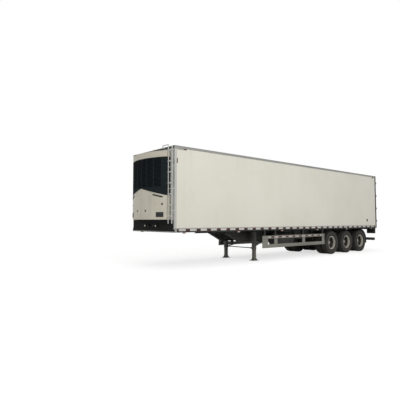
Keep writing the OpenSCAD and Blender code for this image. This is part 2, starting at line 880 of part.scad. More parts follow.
// I-beams across the trailer under the floor
module crossmembers() {
    side = (cross_flange - cross_web_t) / 2;
    color("dimgray") for (i = [0 : cross_n - 1]) translate([at(cross_at(i)), 0, chassis_z])
        along_y(-skin_y, skin_y) difference() {
            translate([-cross_flange / 2, 0]) square([cross_flange, cross_h]);
            for (x = [-cross_flange / 2 - cut, cross_web_t / 2])
                translate([x, cross_flange_t]) square([side + cut, cross_h - 2 * cross_flange_t]);
        }
}

// Plate that rides on the towing vehicle's coupling
module coupler_plate() {
    color("gray") difference() {
        block(at(neck_start), at(coupler_front), -coupler_w, coupler_w, chassis_z - coupler_t, chassis_z);
        translate([at(kingpin_x), 0, chassis_z - coupler_t - cut])
            cylinder(r = king_collar_r + pin_clear, h = coupler_t + 2 * cut);
    }
}

// Kingpin: a flange on the plate, the upper collar, the neck and the lower collar
module kingpin() {
    flange_t = 14;
    neck_l = 35;
    foot_l = 15;
    low = -coupler_t - king_h;
    color("silver") translate([at(kingpin_x), 0, chassis_z]) rotate_extrude() polygon([
        [0, flange_t], [king_flange_r, flange_t], [king_flange_r, 0], [king_collar_r, 0],
        [king_collar_r, low + foot_l + neck_l], [king_neck_r, low + foot_l + neck_l],
        [king_neck_r, low + foot_l], [king_collar_r, low + foot_l], [king_collar_r, low + 3],
        [king_collar_r - 3, low], [0, low]
    ]);
}

// Outer tubes of the landing legs, closed at the top
module landing_legs() {
    x = at(leg_x);
    half = leg_w / 2;
    bore = half - leg_wall;
    color("gray") both_sides() difference() {
        block(x - half, x + half, leg_y - half, leg_y + half, leg_z, leg_top_z);
        block(x - bore, x + bore, leg_y - bore, leg_y + bore, leg_z - cut, leg_top_z - leg_wall);
    }
}

// Inner tubes, let down to the ground on their feet
module landing_feet() {
    x = at(leg_x);
    half = inner_leg_w / 2;
    cheek_t = 12;
    pin_z = foot_h * 0.62;
    inside_l = 320;
    color("gray") both_sides() {
        block(x - half, x + half, leg_y - half, leg_y + half, foot_t + 20, leg_z + inside_l);
        block(x - foot_l / 2, x + foot_l / 2, leg_y - foot_w / 2, leg_y + foot_w / 2, 0, foot_t);
        for (y = [leg_y - half - cheek_t, leg_y + half]) along_y(y, y + cheek_t) polygon([
            [x - foot_l * 0.4, foot_t], [x + foot_l * 0.4, foot_t],
            [x + half * 0.7, foot_h], [x - half * 0.7, foot_h]
        ]);
        bar_y(x, pin_z, 14, leg_y - half - cheek_t - 12, leg_y + half + cheek_t + 12);
    }
}

// Cross shaft, gearbox and folded crank of the landing gear
module landing_gearbox() {
    x = at(leg_x);
    in_y = leg_y - leg_w / 2;
    out_y = leg_y + leg_w / 2;
    box_half = 70;
    box_w = 84;
    crank_y = 1170;
    crank_l = 330;
    grip_l = 110;
    crank_r = 11;
    crank_x = x + box_half / 2;
    color("gray") {
        bar_y(x, shaft_z, shaft_r, -in_y, in_y);
        block(x - box_half, x + box_half, out_y, out_y + box_w, shaft_z - box_half, shaft_z + box_half);
        bar_y(crank_x, shaft_z, crank_r, out_y + box_w - cut, crank_y);
        bar_x(crank_y - crank_r, shaft_z, crank_r, crank_x - crank_l, crank_x);
        bar_y(crank_x - crank_l + crank_r, shaft_z, crank_r, crank_y - grip_l, crank_y);
    }
}

// Round strut between two points
module strut(p, q, r) {
    d = q - p;
    translate(p) rotate([0, acos(d[2] / norm(d)), atan2(d[1], d[0])]) cylinder(r = r, h = norm(d));
}

// Brackets and struts that hold the legs on the main beams, and the tie between the legs
module landing_brackets() {
    x = at(leg_x);
    in_y = leg_y - leg_w / 2;
    gusset_t = 10;
    gusset_x = leg_w / 2 - gusset_t;
    pad = 60;
    strut_r = 18;
    strut_l = 900;
    strut_z = leg_z + pad;
    color("dimgray") {
        both_sides() {
            for (dx = [-gusset_x - gusset_t, gusset_x]) along_x(x + dx, x + dx + gusset_t) polygon([
                [beam_out_y, chassis_z - beam_flange_t], [in_y, leg_top_z],
                [in_y, beam_z + pad], [beam_out_y, beam_z]
            ]);
            block(x - gusset_x - gusset_t, x + gusset_x + gusset_t, in_y - gusset_t, in_y,
                  beam_z + pad, leg_top_z);
            block(x - leg_w / 2, x + leg_w / 2, in_y - pad, in_y, strut_z - pad / 2, strut_z + pad / 2);
            translate([x - strut_l, beam_y, beam_z]) block(-pad, pad, -pad / 2, pad / 2, -pad, 0);
            strut([x, in_y - pad / 2, strut_z], [x - strut_l, beam_y, beam_z - pad / 2], strut_r);
        }
        bar_y(x, strut_z, strut_r, pad / 2 - in_y, in_y - pad / 2);
    }
}

// Section of a guard rail with bevelled outer edges
module guard_section(z, h) {
    bevel = guard_t * 0.35;
    inner = guard_y - guard_t;
    polygon([
        [inner, z], [guard_y - bevel, z], [guard_y, z + bevel],
        [guard_y, z + h - bevel], [guard_y - bevel, z + h], [inner, z + h]
    ]);
}

// Side guard: two rails on flush posts
module side_guard(s) {
    high = guard_high_z + guard_high_h;
    color("lightgray") on_side(s) {
        along_x(at(guard_rear), at(guard_front)) {
            guard_section(guard_z, guard_low_h);
            guard_section(guard_high_z, guard_high_h);
        }
        for (p = guard_posts) translate([at(p[0]), 0, 0])
            block(-p[1] / 2, p[1] / 2, guard_y - guard_t, guard_y - guard_t * 0.35, guard_z + cut, high - cut);
    }
}

// Arms that carry the side guards under the bottom rails
module guard_hangers() {
    in_y = guard_y - guard_t - hanger_d;
    color("dimgray") both_sides() for (p = guard_posts)
        translate([at(p[0]), 0, 0])
            block(-hanger_w / 2, hanger_w / 2, in_y, in_y + hanger_d, guard_z + guard_low_h / 4, rail_z);
}

// Brackets under the main beams that hold the trailing arms' front ends
module suspension_hangers() {
    top_t = 12;
    wide = arm_w / 2 + cheek_gap;
    brow = eye_r + 14;
    color("dimgray") both_sides() for (a = axles_at) translate([at(a) + pivot_x, arm_y, 0]) {
        for (y = [-wide - cheek_t, wide]) along_y(y, y + cheek_t) polygon([
            [-brow - 30, beam_z], [brow + 10, beam_z],
            [brow - 20, pivot_z - eye_r], [20 - brow, pivot_z - eye_r]
        ]);
        block(-brow - 30, brow + 10, -wide - cheek_t, wide + cheek_t, beam_z - top_t, beam_z);
        bar_y(0, pivot_z, pivot_r, -wide - cheek_t - 14, wide + cheek_t + 14);
    }
}

// Trailing arms that run under the axles to the air springs
module trailing_arms() {
    low = arm_top_z - arm_h;
    tail_x = -bag_x - bag_r;
    tail_h = arm_h * 0.45;
    color("dimgray") both_sides() for (a = axles_at) translate([at(a), 0, 0]) {
        difference() {
            along_y(arm_y - arm_w / 2, arm_y + arm_w / 2) {
                translate([pivot_x, pivot_z]) circle(r = eye_r);
                polygon([
                    [pivot_x, pivot_z + eye_r * 0.9], [seat_l + 60, arm_top_z], [tail_x, arm_top_z],
                    [tail_x, arm_top_z - tail_h], [-seat_l, low], [seat_l, low], [pivot_x, pivot_z - eye_r * 0.9]
                ]);
            }
            bar_y(pivot_x, pivot_z, pivot_r + pin_clear, arm_y - arm_w, arm_y + arm_w);
        }
        block(tail_x, bag_r - bag_x, bag_y - piston_r, bag_y + piston_r, arm_top_z, arm_top_z + pad_t);
    }
}

// Air springs: a piston, a rolling bellows and a top plate under the beam
module air_springs() {
    low = arm_top_z + pad_t;
    h = beam_z - low;
    plate_t = 10;
    round_r = 34;
    section = [
        [0, 0], [piston_r, 0], [piston_r * 0.9, piston_h * 0.75], [bag_r - round_r * 0.6, piston_h * 0.8],
        [bag_r, piston_h + round_r * 0.6], [bag_r, h - plate_t - round_r], [bag_r - round_r, h - plate_t],
        [piston_r, h - plate_t], [piston_r, h], [0, h]
    ];
    color("black") both_sides() for (a = axles_at) translate([at(a) - bag_x, bag_y, low])
        rotate_extrude() polygon(section);
}

// Axle beams with seats, back plates, spindles, brake chambers and cam shafts
module axles() {
    plate_t = 8;
    plate_r = drum_r - drum_wall - 4;
    seat_w = arm_w / 2 + 6;
    chamber_y = 300;
    chamber_dx = 96;
    cam_x = 84;
    cam_dz = 36;
    cam_r = 18;
    bracket = 36;
    color("dimgray") for (a = axles_at) translate([at(a), 0, axle_z]) {
        bar_y(0, 0, axle_r, -plate_y, plate_y);
        both_sides() {
            block(-seat_l, seat_l, arm_y - seat_w, arm_y + seat_w, arm_top_z - axle_z, 20);
            bar_y(0, 0, plate_r, plate_y - plate_t, plate_y);
            bar_y(0, 0, spindle_r, plate_y - cut, twin_y + hub_l - 20);
            bar_y(cam_x, cam_dz, cam_r, chamber_y, plate_y - cut);
            block(0, chamber_dx + 20, chamber_y - bracket, chamber_y + bracket, -bracket, 2 * bracket);
            bar_x(chamber_y, cam_dz, chamber_r, chamber_dx, chamber_dx + chamber_l);
        }
    }
}

// A part of the wheel on axle i and side s, drawn round Z with its outer face up
module on_wheel(i, s) {
    on_side(s) translate([at(axles_at[i - 1]), twin_y, axle_z]) rotate([-90, 0, 0]) children();
}

// The two tyres of a twin wheel
module tyres(i, s) {
    shoulder = tread_w / 2;
    half = tyre_w / 2;
    seat = rim_w / 2 - rim_wall - bead_gap;
    foot_r = bead_r + bead_gap;
    lip_r = rim_flange_r + bead_gap;
    wall_r = (tyre_r + lip_r) / 2;
    profile = [
        [foot_r, seat], [lip_r, seat], [lip_r, rim_w / 2 + 8], [wall_r - 30, half], [wall_r + 30, half],
        [tyre_r - 14, shoulder + 10], [tyre_r, shoulder - 8]
    ];
    n = len(profile) - 1;
    color("black") on_wheel(i, s) for (v = [-twin_pitch / 2, twin_pitch / 2]) translate([0, 0, v])
        rotate_extrude() polygon([
            for (p = profile) p,
            for (k = [n : -1 : 0]) [profile[k][0], -profile[k][1]]
        ]);
}

// Section of one dished wheel: rim and disc, with the disc's seat on z = 0
module dish_section() {
    mid = twin_pitch / 2;
    low = mid - rim_w / 2;
    high = mid + rim_w / 2;
    in_r = bead_r - rim_wall;
    flat_r = nut_pcr + nut_r + 6;
    knee_r = (flat_r + in_r) / 2 + 8;
    polygon([
        [hub_r - cut, 0], [flat_r, 0], [knee_r, low * 0.62], [in_r, low + 12], [in_r, low],
        [rim_flange_r, low], [rim_flange_r, low + rim_wall], [bead_r, low + rim_wall],
        [bead_r, high - rim_wall], [rim_flange_r, high - rim_wall], [rim_flange_r, high],
        [in_r, high], [in_r - 5, low + 58], [knee_r - 4, low * 0.62 + 18],
        [flat_r - 4, disc_t], [hub_r - cut, disc_t]
    ]);
}

// Two dished wheels back to back on their hub and brake drum
module wheel(i, s) {
    flange_t = 18;
    web_z = -disc_t - flange_t;
    flange_r = nut_pcr + nut_r;
    hub_in_r = 92;
    drum_step = 10;
    drum_h = drum_l + web_z - drum_step;
    color("tan") on_wheel(i, s) difference() {
        union() {
            rotate_extrude() dish_section();
            mirror([0, 0, 1]) rotate_extrude() dish_section();
            translate([0, 0, web_z]) cylinder(r = flange_r, h = flange_t);
            translate([0, 0, web_z]) cylinder(r = hub_r, h = hub_l - web_z);
            translate([0, 0, hub_l - cut]) cylinder(r = hub_cap_r, h = hub_cap_l + cut);
            translate([0, 0, -drum_l]) cylinder(r = hub_in_r, h = drum_l);
            translate([0, 0, -drum_l]) difference() {
                cylinder(r = drum_r, h = drum_h);
                translate([0, 0, -cut]) cylinder(r = drum_r - drum_wall, h = drum_h - drum_wall + cut);
            }
            translate([0, 0, web_z - drum_step - cut]) cylinder(r = flange_r - 6, h = drum_step + 2 * cut);
            for (k = [0 : nut_n - 1]) rotate([0, 0, k * 360 / nut_n]) translate([nut_pcr, 0, disc_t - cut])
                cylinder(r = nut_r, h = nut_l + cut, $fn = 6);
        }
        for (k = [0 : hand_hole_n - 1]) rotate([0, 0, (k + 0.5) * 360 / hand_hole_n])
            translate([hand_hole_pcr, 0, -twin_pitch / 2]) cylinder(r = hand_hole_r, h = twin_pitch, $fn = 48);
        translate([0, 0, -drum_l - cut]) cylinder(r = spindle_r + spindle_clear, h = drum_l + hub_l - 8 + cut);
    }
}

// Quarter mudguards behind the last wheels, on tubes from the main beams
module mudguards() {
    in_y = twin_y - twin_pitch / 2 - tyre_w / 2;
    out_y = twin_y + twin_pitch / 2 + tyre_w / 2;
    r = tyre_r + mudguard_gap;
    tube_d = r + mudguard_t + mud_tube_r - 4;
    tube_angle = 48;
    color("black") both_sides() translate([at(axles_at[2]), 0, axle_z]) {
        translate([0, in_y, 0]) rotate([-90, 0, 0]) rotate([0, 0, 180 + mudguard_low])
            rotate_extrude(angle = mudguard_high - mudguard_low)
                translate([r, 0]) square([mudguard_t, out_y - in_y]);
        bar_y(-tube_d * cos(tube_angle), tube_d * sin(tube_angle), mud_tube_r,
              beam_y + beam_web_t / 2, out_y - 30);
    }
}

// Underrun bar on two carriers under the main beams
module rear_bumper() {
    back = rear_x + bumper_in;
    face = back + bumper_d;
    lip = 12;
    color("black") {
        block(back, face, -bumper_y, bumper_y, bumper_z, bumper_z + bumper_h);
        both_sides() along_y(beam_y - carrier_t / 2, beam_y + carrier_t / 2) polygon([
            [face - cut, bumper_z + lip], [face - cut, bumper_z + bumper_h - lip],
            [rear_x + beam_rear, beam_z], [rear_x + beam_rear + beam_h * 0.8, beam_z]
        ]);
    }
}

// Lamp boxes under the rear sill, each on a bracket
module tail_lamps() {
    lip_in = 16;
    back = rear_x + lip_in;
    stem_w = 120;
    stem_t = 20;
    mid = lamp_y - lamp_l / 2;
    color("darkred") both_sides() {
        block(back, back + lamp_d, lamp_y - lamp_l, lamp_y, lamp_z, lamp_z + lamp_h);
        block(back + lamp_d - 2 * stem_t, back + lamp_d - stem_t, mid - stem_w / 2, mid + stem_w / 2,
              lamp_z + lamp_h - cut, rail_z);
    }
}

// Side lamps under the bottom rails
module marker_lamps() {
    color("darkred") both_sides() for (i = [0 : marker_n - 1])
        translate([at(marker_x + i * marker_pitch), 0, 0])
            block(-marker_l / 2, marker_l / 2, half_w - marker_d, half_w, rail_z - marker_h, rail_z);
}

// Pressure vessel along X with bevelled ends, starting at x = 0
module vessel(r, l) {
    bevel = r * 0.3;
    rotate([0, 90, 0]) rotate_extrude() polygon([
        [0, 0], [r - bevel, 0], [r, bevel], [r, l - bevel], [r - bevel, l], [0, l]
    ]);
}

// Air tanks between the main beams, banded to two crossmembers
module air_tanks() {
    mid = (cross_at(air_cross) + cross_at(air_cross + 1)) / 2;
    color("gray") both_sides() translate([0, air_y, 0]) {
        translate([at(mid) - air_l / 2, 0, air_z]) vessel(air_r, air_l);
        for (i = [air_cross, air_cross + 1]) translate([at(cross_at(i)) - band_w / 2, 0, 0]) {
            bar_x(0, air_z, air_r + band_t, 0, band_w);
            block(0, band_w, -band_w / 2, band_w / 2, air_z + air_r - cut, chassis_z);
        }
    }
}

// Fuel tank of the cooling unit on two saddles at the left main beam
module fuel_tank() {
    saddle_w = 70;
    saddle_in = 260;
    saddle_z = chassis_z - beam_flange_t;
    wall = 30;
    neck_r = 38;
    neck_h = 60;
    color("silver") {
        translate([at(fuel_x + fuel_l), fuel_y, fuel_z]) vessel(fuel_r, fuel_l);
        for (d = [fuel_x + saddle_in, fuel_x + fuel_l - saddle_in]) translate([at(d) - saddle_w / 2, 0, 0]) {
            along_x(0, saddle_w) polygon([
                [beam_out_y, saddle_z], [beam_out_y + wall, saddle_z], [fuel_y, fuel_z],
                [fuel_y + fuel_r * 0.8, fuel_z - fuel_r * 0.7],
                [fuel_y + fuel_r * 0.6, fuel_z - fuel_r - wall],
                [beam_out_y, fuel_z - fuel_r - wall]
            ]);
            bar_x(fuel_y, fuel_z, fuel_r + band_t, 0, saddle_w);
        }
        translate([at(fuel_x + saddle_in / 2), fuel_y, fuel_z]) rotate([-45, 0, 0])
            cylinder(r = neck_r, h = fuel_r + neck_h);
    }
}

floor();
wall(1);  // wall_left
wall(-1);  // wall_right
wall_front();
roof();
top_rails();
bottom_rails();
front_posts();
front_panel();
rear_frame();
hinge_brackets();
door(1);  // door_left
door(-1);  // door_right
door_gear(1);  // door_gear_left
door_gear(-1);  // door_gear_right
unit_body();
unit_grille();
unit_cap();
unit_doors();
unit_fittings();
ladder();
main_beam(1);  // main_beam_left
main_beam(-1);  // main_beam_right
crossmembers();
coupler_plate();
kingpin();
landing_legs();
landing_feet();
landing_gearbox();
landing_brackets();
side_guard(1);  // side_guard_left
side_guard(-1);  // side_guard_right
guard_hangers();
suspension_hangers();
trailing_arms();
air_springs();
axles();
tyres(1, 1);  // tyres_1_left
tyres(1, -1);  // tyres_1_right
tyres(2, 1);  // tyres_2_left
tyres(2, -1);  // tyres_2_right
tyres(3, 1);  // tyres_3_left
tyres(3, -1);  // tyres_3_right
wheel(1, 1);  // wheel_1_left
wheel(1, -1);  // wheel_1_right
wheel(2, 1);  // wheel_2_left
wheel(2, -1);  // wheel_2_right
wheel(3, 1);  // wheel_3_left
wheel(3, -1);  // wheel_3_right
mudguards();
rear_bumper();
tail_lamps();
marker_lamps();
air_tanks();
fuel_tank();
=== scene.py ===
"""Looks of a refrigerated semi-trailer: finishes, tyres, lamps, trim, lining and studio."""
import json
import logging
import math
from dataclasses import dataclass
from enum import Enum
from typing import Callable, Sequence

import bpy
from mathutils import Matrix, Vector


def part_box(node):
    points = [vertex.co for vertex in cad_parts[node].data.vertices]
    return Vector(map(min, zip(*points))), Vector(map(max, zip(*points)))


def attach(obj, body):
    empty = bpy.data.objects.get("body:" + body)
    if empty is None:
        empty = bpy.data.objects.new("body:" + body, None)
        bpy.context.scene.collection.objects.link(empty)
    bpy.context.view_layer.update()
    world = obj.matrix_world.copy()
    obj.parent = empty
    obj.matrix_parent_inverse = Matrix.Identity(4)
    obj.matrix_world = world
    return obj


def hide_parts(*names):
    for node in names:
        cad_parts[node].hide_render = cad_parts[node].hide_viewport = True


Point = tuple[float, float, float]
Colour = tuple[float, float, float]
Span = tuple[float, float]
Node = bpy.types.Node
Socket = bpy.types.NodeSocket

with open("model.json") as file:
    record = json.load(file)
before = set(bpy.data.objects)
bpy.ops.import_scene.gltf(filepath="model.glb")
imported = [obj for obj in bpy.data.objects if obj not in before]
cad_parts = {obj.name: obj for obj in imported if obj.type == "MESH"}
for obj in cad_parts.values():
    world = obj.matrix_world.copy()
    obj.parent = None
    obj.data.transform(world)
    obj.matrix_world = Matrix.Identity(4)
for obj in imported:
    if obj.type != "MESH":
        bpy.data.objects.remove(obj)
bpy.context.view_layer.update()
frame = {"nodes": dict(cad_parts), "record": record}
LOG = logging.getLogger("trailer")
AXLES = (1, 2, 3)
ORIGIN: Point = (0.0, 0.0, 0.0)
# How far trim reaches into what carries it.
ROOT = 0.001
# Points closer than this are one point.
MERGE = 1e-5
# Edges flatter than these many degrees are shaded smooth.
SMOOTH, HARD, DOME = 35.0, 30.0, 60.0


class Side(Enum):
    """Side of the trailer, with its sign along Y."""

    LEFT = 1
    RIGHT = -1

    @property
    def word(self) -> str:
        """The side's name as the nodes and bodies spell it."""
        return self.name.lower()

    def across(self, inner: float, outer: float) -> Span:
        """Two distances from the middle plane as Y values of this side, in order."""
        near, far = sorted((self.value * inner, self.value * outer))
        return near, far


class Axis(Enum):
    """A direction of the shared frame."""

    X = (1.0, 0.0, 0.0)
    Y = (0.0, 1.0, 0.0)
    Z = (0.0, 0.0, 1.0)


def low(node: str) -> Vector:
    """Lowest corner of a CAD node."""
    return Vector(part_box(node)[0])


def high(node: str) -> Vector:
    """Highest corner of a CAD node."""
    return Vector(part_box(node)[1])


def middle(node: str) -> Vector:
    """Middle of a CAD node's box."""
    return (low(node) + high(node)) / 2


class Graph:
    """A shader node tree with short calls for adding and linking nodes."""

    mix_a, mix_b, mix_colour = 6, 7, 2

    def __init__(self, tree: bpy.types.NodeTree) -> None:
        """Keeps the tree that the nodes go into."""
        self.tree = tree

    def node(self, kind: str, inputs: dict | None = None, **settings: object) -> Node:
        """Adds a node.

        Args:
            kind: The node's type name, without the ShaderNode prefix if it has that.
            inputs: Socket names or numbers, each with a value or a socket to link.
            settings: Attributes of the node.

        Returns:
            The new node.
        """
        made = self.tree.nodes.new(kind if kind.startswith("Node") else f"ShaderNode{kind}")
        for name, value in settings.items():
            setattr(made, name, value)
        self.feed(made, inputs or {})
        return made

    def feed(self, made: Node, inputs: dict) -> None:
        """Sets a node's inputs, or links them where the value is a socket."""
        for key, value in inputs.items():
            if isinstance(value, Socket):
                self.tree.links.new(value, made.inputs[key])
            else:
                made.inputs[key].default_value = value

    def where(self) -> Socket:
        """Object coordinates."""
        return self.node("TexCoord").outputs["Object"]

    def math(self, operation: str, a: object, b: object = 0.0, clamp: bool = False) -> Socket:
        """Adds a Math node and returns its value socket."""
        return self.node("Math", {0: a, 1: b}, operation=operation, use_clamp=clamp).outputs[0]

    def span(self, value: object, a: object, b: object, to_a: float = 0.0, to_b: float = 1.0) -> Socket:
        """Maps a value from one range to another with a smooth step and returns the result's socket."""
        inputs = {"Value": value, "From Min": a, "From Max": b, "To Min": to_a, "To Max": to_b}
        return self.node("MapRange", inputs, interpolation_type="SMOOTHSTEP").outputs["Result"]

    def noise(self, vector: Socket, scale: object, detail: float, rough: float = 0.5) -> Socket:
        """Adds a noise texture and returns its value socket."""
        inputs = {"Vector": vector, "Scale": scale, "Detail": detail, "Roughness": rough}
        return self.node("TexNoise", inputs).outputs["Fac"]

    def bump(self, height: Socket, strength: float, depth: float) -> Socket:
        """Turns a height into a normal and returns the normal's socket."""
        return self.node("Bump", {"Height": height, "Strength": strength, "Distance": depth}).outputs[0]

    def blend(self, factor: object, a: object, b: object) -> Socket:
        """Mixes two colours and returns the colour's socket."""
        ends = {self.mix_a: a, self.mix_b: b}
        inputs = {key: end if isinstance(end, Socket) else (*end, 1.0) for key, end in ends.items()}
        return self.node("Mix", {0: factor, **inputs}, data_type="RGBA").outputs[self.mix_colour]


@dataclass(frozen=True)
class Effect:
    """A shader node group that several finishes share, following a vector and some named values."""

    name: str
    values: dict[str, float]
    outputs: tuple[str, ...]
    wire: Callable[[Graph, Node], Sequence[Socket]]

    def tree(self) -> bpy.types.NodeTree:
        """Returns the group's tree, built at its first use."""
        if self.name in bpy.data.node_groups:
            return bpy.data.node_groups[self.name]
        tree = bpy.data.node_groups.new(self.name, "ShaderNodeTree")
        tree.interface.new_socket("Vector", in_out="INPUT", socket_type="NodeSocketVector")
        for name, value in self.values.items():
            socket = tree.interface.new_socket(name, in_out="INPUT", socket_type="NodeSocketFloat")
            socket.default_value = value
        for name in self.outputs:
            tree.interface.new_socket(name, in_out="OUTPUT", socket_type="NodeSocketFloat")
        graph = Graph(tree)
        ends = graph.node("NodeGroupOutput")
        for socket, value in zip(ends.inputs, self.wire(graph, graph.node("NodeGroupInput"))):
            tree.links.new(value, socket)
        return tree

    def place(self, graph: Graph, vector: Socket, **values: float) -> Node:
        """Puts the group into a material.

        Args:
            graph: The material's graph.
            vector: The coordinates that the effect follows.
            values: The group's own values, with spaces in names as underscores.

        Returns:
            The group node.
        """
        inputs = {name.replace("_", " "): value for name, value in values.items()}
        return graph.node("Group", {"Vector": vector, **inputs}, node_tree=self.tree())


def wire_dust(graph: Graph, ends: Node) -> Sequence[Socket]:
    """Road dust that thickens towards the ground and lies in patches."""
    given = ends.outputs
    height = graph.node("SeparateXYZ", {0: given["Vector"]}).outputs["Z"]
    depth = graph.span(height, given["Top"], given["Ground"])
    patches = graph.span(graph.noise(given["Vector"], given["Scale"], 5.0, 0.65), 0.3, 0.72, 0.25, 1.0)
    return [graph.math("MULTIPLY", depth, patches, clamp=True)]


def wire_streaks(graph: Graph, ends: Node) -> Sequence[Socket]:
    """Faint upright run marks left by rain."""
    given = ends.outputs
    drawn = graph.node("Mapping", {"Vector": given["Vector"], "Scale": (1.0, 1.0, 0.045)}).outputs[0]
    runs = graph.span(graph.noise(drawn, given["Scale"], 4.0, 0.6), 0.5, 0.78)
    return [graph.math("MULTIPLY", runs, graph.span(graph.noise(given["Vector"], 0.6, 2.0), 0.35, 0.7))]


def wire_grain(graph: Graph, ends: Node) -> Sequence[Socket]:
    """Fine unevenness of a surface, and a slow variation over it."""
    given = ends.outputs
    slow = graph.noise(given["Vector"], given["Slow Scale"], 4.0, 0.6)
    return [graph.noise(given["Vector"], given["Scale"], 3.0), graph.span(slow, 0.3, 0.7)]


DUST = Effect("road_dust", {"Ground": 0.0, "Top": 1.4, "Scale": 6.0}, ("Mask",), wire_dust)
STREAKS = Effect("rain_streaks", {"Scale": 5.0}, ("Mask",), wire_streaks)
GRAIN = Effect("surface_grain", {"Scale": 90.0, "Slow Scale": 2.0}, ("Height", "Variation"), wire_grain)
ROAD_DUST: Colour = (0.27, 0.245, 0.195)
RUN_MARK: Colour = (0.33, 0.31, 0.25)
DUST_ROUGHNESS = 0.35


@dataclass(frozen=True)
class Surface:
    """A material that is made once, at its first use."""

    name: str

    def material(self) -> bpy.types.Material:
        """Returns the surface's material."""
        label = f"{self.name}_finish"
        if label not in bpy.data.materials:
            made = bpy.data.materials.new(label)
            made.use_nodes = True
            self.wire(Graph(made.node_tree), made.node_tree.nodes["Principled BSDF"])
        return bpy.data.materials[label]

    def wire(self, graph: Graph, shader: Node) -> None:
        """Wires the surface's pattern into its shader."""
        raise NotImplementedError


@dataclass(frozen=True)
class Finish(Surface):
    """A surface with its colour variation, grain, rain marks and road dust."""

    colour: Colour
    shade: Colour
    rough: Span = (0.4, 0.55)
    metal: float = 0.0
    grain: float = 90.0
    slow: float = 2.0
    bump: float = 0.05
    bump_depth: float = 0.002
    dust: float = 0.0
    dust_top: float = 1.4
    dust_scale: float = 6.0
    streaks: float = 0.0
    coat: float = 0.0
    brushed: Point = (1.0, 1.0, 1.0)
    specular: float = 0.5

    def base(self, graph: Graph, where: Socket, variation: Socket) -> Socket:
        """Lays the clean colour, before rain marks and dust.

        Args:
            graph: The material's graph.
            where: Object coordinates.
            variation: The slow variation over the surface.

        Returns:
            The colour's socket.
        """
        return graph.blend(variation, self.colour, self.shade)

    def wire(self, graph: Graph, shader: Node) -> None:
        """Wires colour, rain marks, dust and grain into the shader."""
        where = graph.where()
        stretched = graph.node("Mapping", {"Vector": where, "Scale": self.brushed}).outputs[0]
        grain = GRAIN.place(graph, stretched, Scale=self.grain, Slow_Scale=self.slow).outputs
        colour = self.base(graph, where, grain["Variation"])
        rough = graph.span(grain["Variation"], 0.0, 1.0, *self.rough)
        if self.streaks:
            runs = graph.math("MULTIPLY", STREAKS.place(graph, where).outputs["Mask"], self.streaks)
            colour = graph.blend(runs, colour, RUN_MARK)
        if self.dust:
            mask = DUST.place(graph, where, Top=self.dust_top, Scale=self.dust_scale).outputs["Mask"]
            cover = graph.math("MULTIPLY", mask, self.dust)
            colour = graph.blend(cover, colour, ROAD_DUST)
            rough = graph.math("ADD", rough, graph.math("MULTIPLY", cover, DUST_ROUGHNESS), clamp=True)
        graph.feed(shader, {
            "Base Color": colour, "Roughness": rough, "Metallic": self.metal, "Coat Weight": self.coat,
            "Normal": graph.bump(grain["Height"], self.bump, self.bump_depth),
            "Specular IOR Level": self.specular})


@dataclass(frozen=True)
class WheelFinish(Finish):
    """Wheel paint with a painted highlight round the rim's edge, and near black inside it with brake dust and
    painted shade.
    """

    # Near black beyond the hub: brake dust, and painted shade inside the dished rim.
    soot_and_shade: Colour = (0.020, 0.019, 0.0165)
    # Painted highlight on the outer rim's edge.
    bright: Colour = (0.66, 0.64, 0.55)
    hub_r: Span = (0.150, 0.172)
    edge_r: Span = (0.266, 0.276)
    edge_y: Span = (1.085, 1.145)

    def base(self, graph: Graph, where: Socket, variation: Socket) -> Socket:
        """Lays the rings of colour about each axle's line.

        Args:
            graph: The material's graph.
            where: Object coordinates.
            variation: The slow variation over the surface.

        Returns:
            The colour's socket.
        """
        first, second = (middle(f"tyres_{axle}_left") for axle in AXLES[:2])
        half = (first.x - second.x) / 2
        place = graph.node("SeparateXYZ", {0: where}).outputs
        along = graph.math("SUBTRACT", place["X"], first.x)
        near = graph.node("Math", {0: along, 1: half, 2: -half}, operation="WRAP").outputs[0]
        up = graph.math("SUBTRACT", place["Z"], first.z)
        squares = graph.math("ADD", graph.math("MULTIPLY", near, near), graph.math("MULTIPLY", up, up))
        radius = graph.math("SQRT", squares)
        colour = graph.blend(variation, self.colour, self.shade)
        # Beyond the hub the rim turns near black: brake dust and painted shade.
        colour = graph.blend(graph.span(radius, *self.hub_r), colour, self.soot_and_shade)
        # Painted highlight round the outer wheel's rim edge.
        out = graph.span(graph.math("ABSOLUTE", place["Y"]), *self.edge_y)
        return graph.blend(graph.math("MULTIPLY", graph.span(radius, *self.edge_r), out), colour, self.bright)


@dataclass(frozen=True)
class Tape(Surface):
    """Reflective tape in red and white lengths along an axis, or in plain red."""

    pitch: float = 0.458
    red_part: float = 0.34
    start: float = 6.178
    cells: float = 260.0
    axis: str = "X"
    red: Colour = (0.10, 0.016, 0.015)
    white: Colour = (0.50, 0.49, 0.45)
    red_worn: float = 0.65
    white_worn: float = 0.8

    def wire(self, graph: Graph, shader: Node) -> None:
        """Wires the lengths of colour and the fine cells into the shader."""
        where = graph.where()
        along = graph.node("SeparateXYZ", {0: where}).outputs[self.axis]
        lengths = graph.math("DIVIDE", graph.math("SUBTRACT", self.start, along), self.pitch)
        is_red = graph.math("LESS_THAN", graph.math("FRACT", lengths), self.red_part)
        cell = graph.node("TexVoronoi", {"Vector": where, "Scale": self.cells}).outputs["Distance"]
        grain = GRAIN.place(graph, where, Scale=40.0, Slow_Scale=3.0).outputs["Variation"]
        red = graph.blend(grain, self.red, tuple(part * self.red_worn for part in self.red))
        white = graph.blend(grain, self.white, tuple(part * self.white_worn for part in self.white))
        graph.feed(shader, {
            "Base Color": graph.blend(is_red, white, red), "Normal": graph.bump(cell, 0.15, 0.001),
            "Roughness": graph.span(cell, 0.0, 0.6, 0.22, 0.42)})


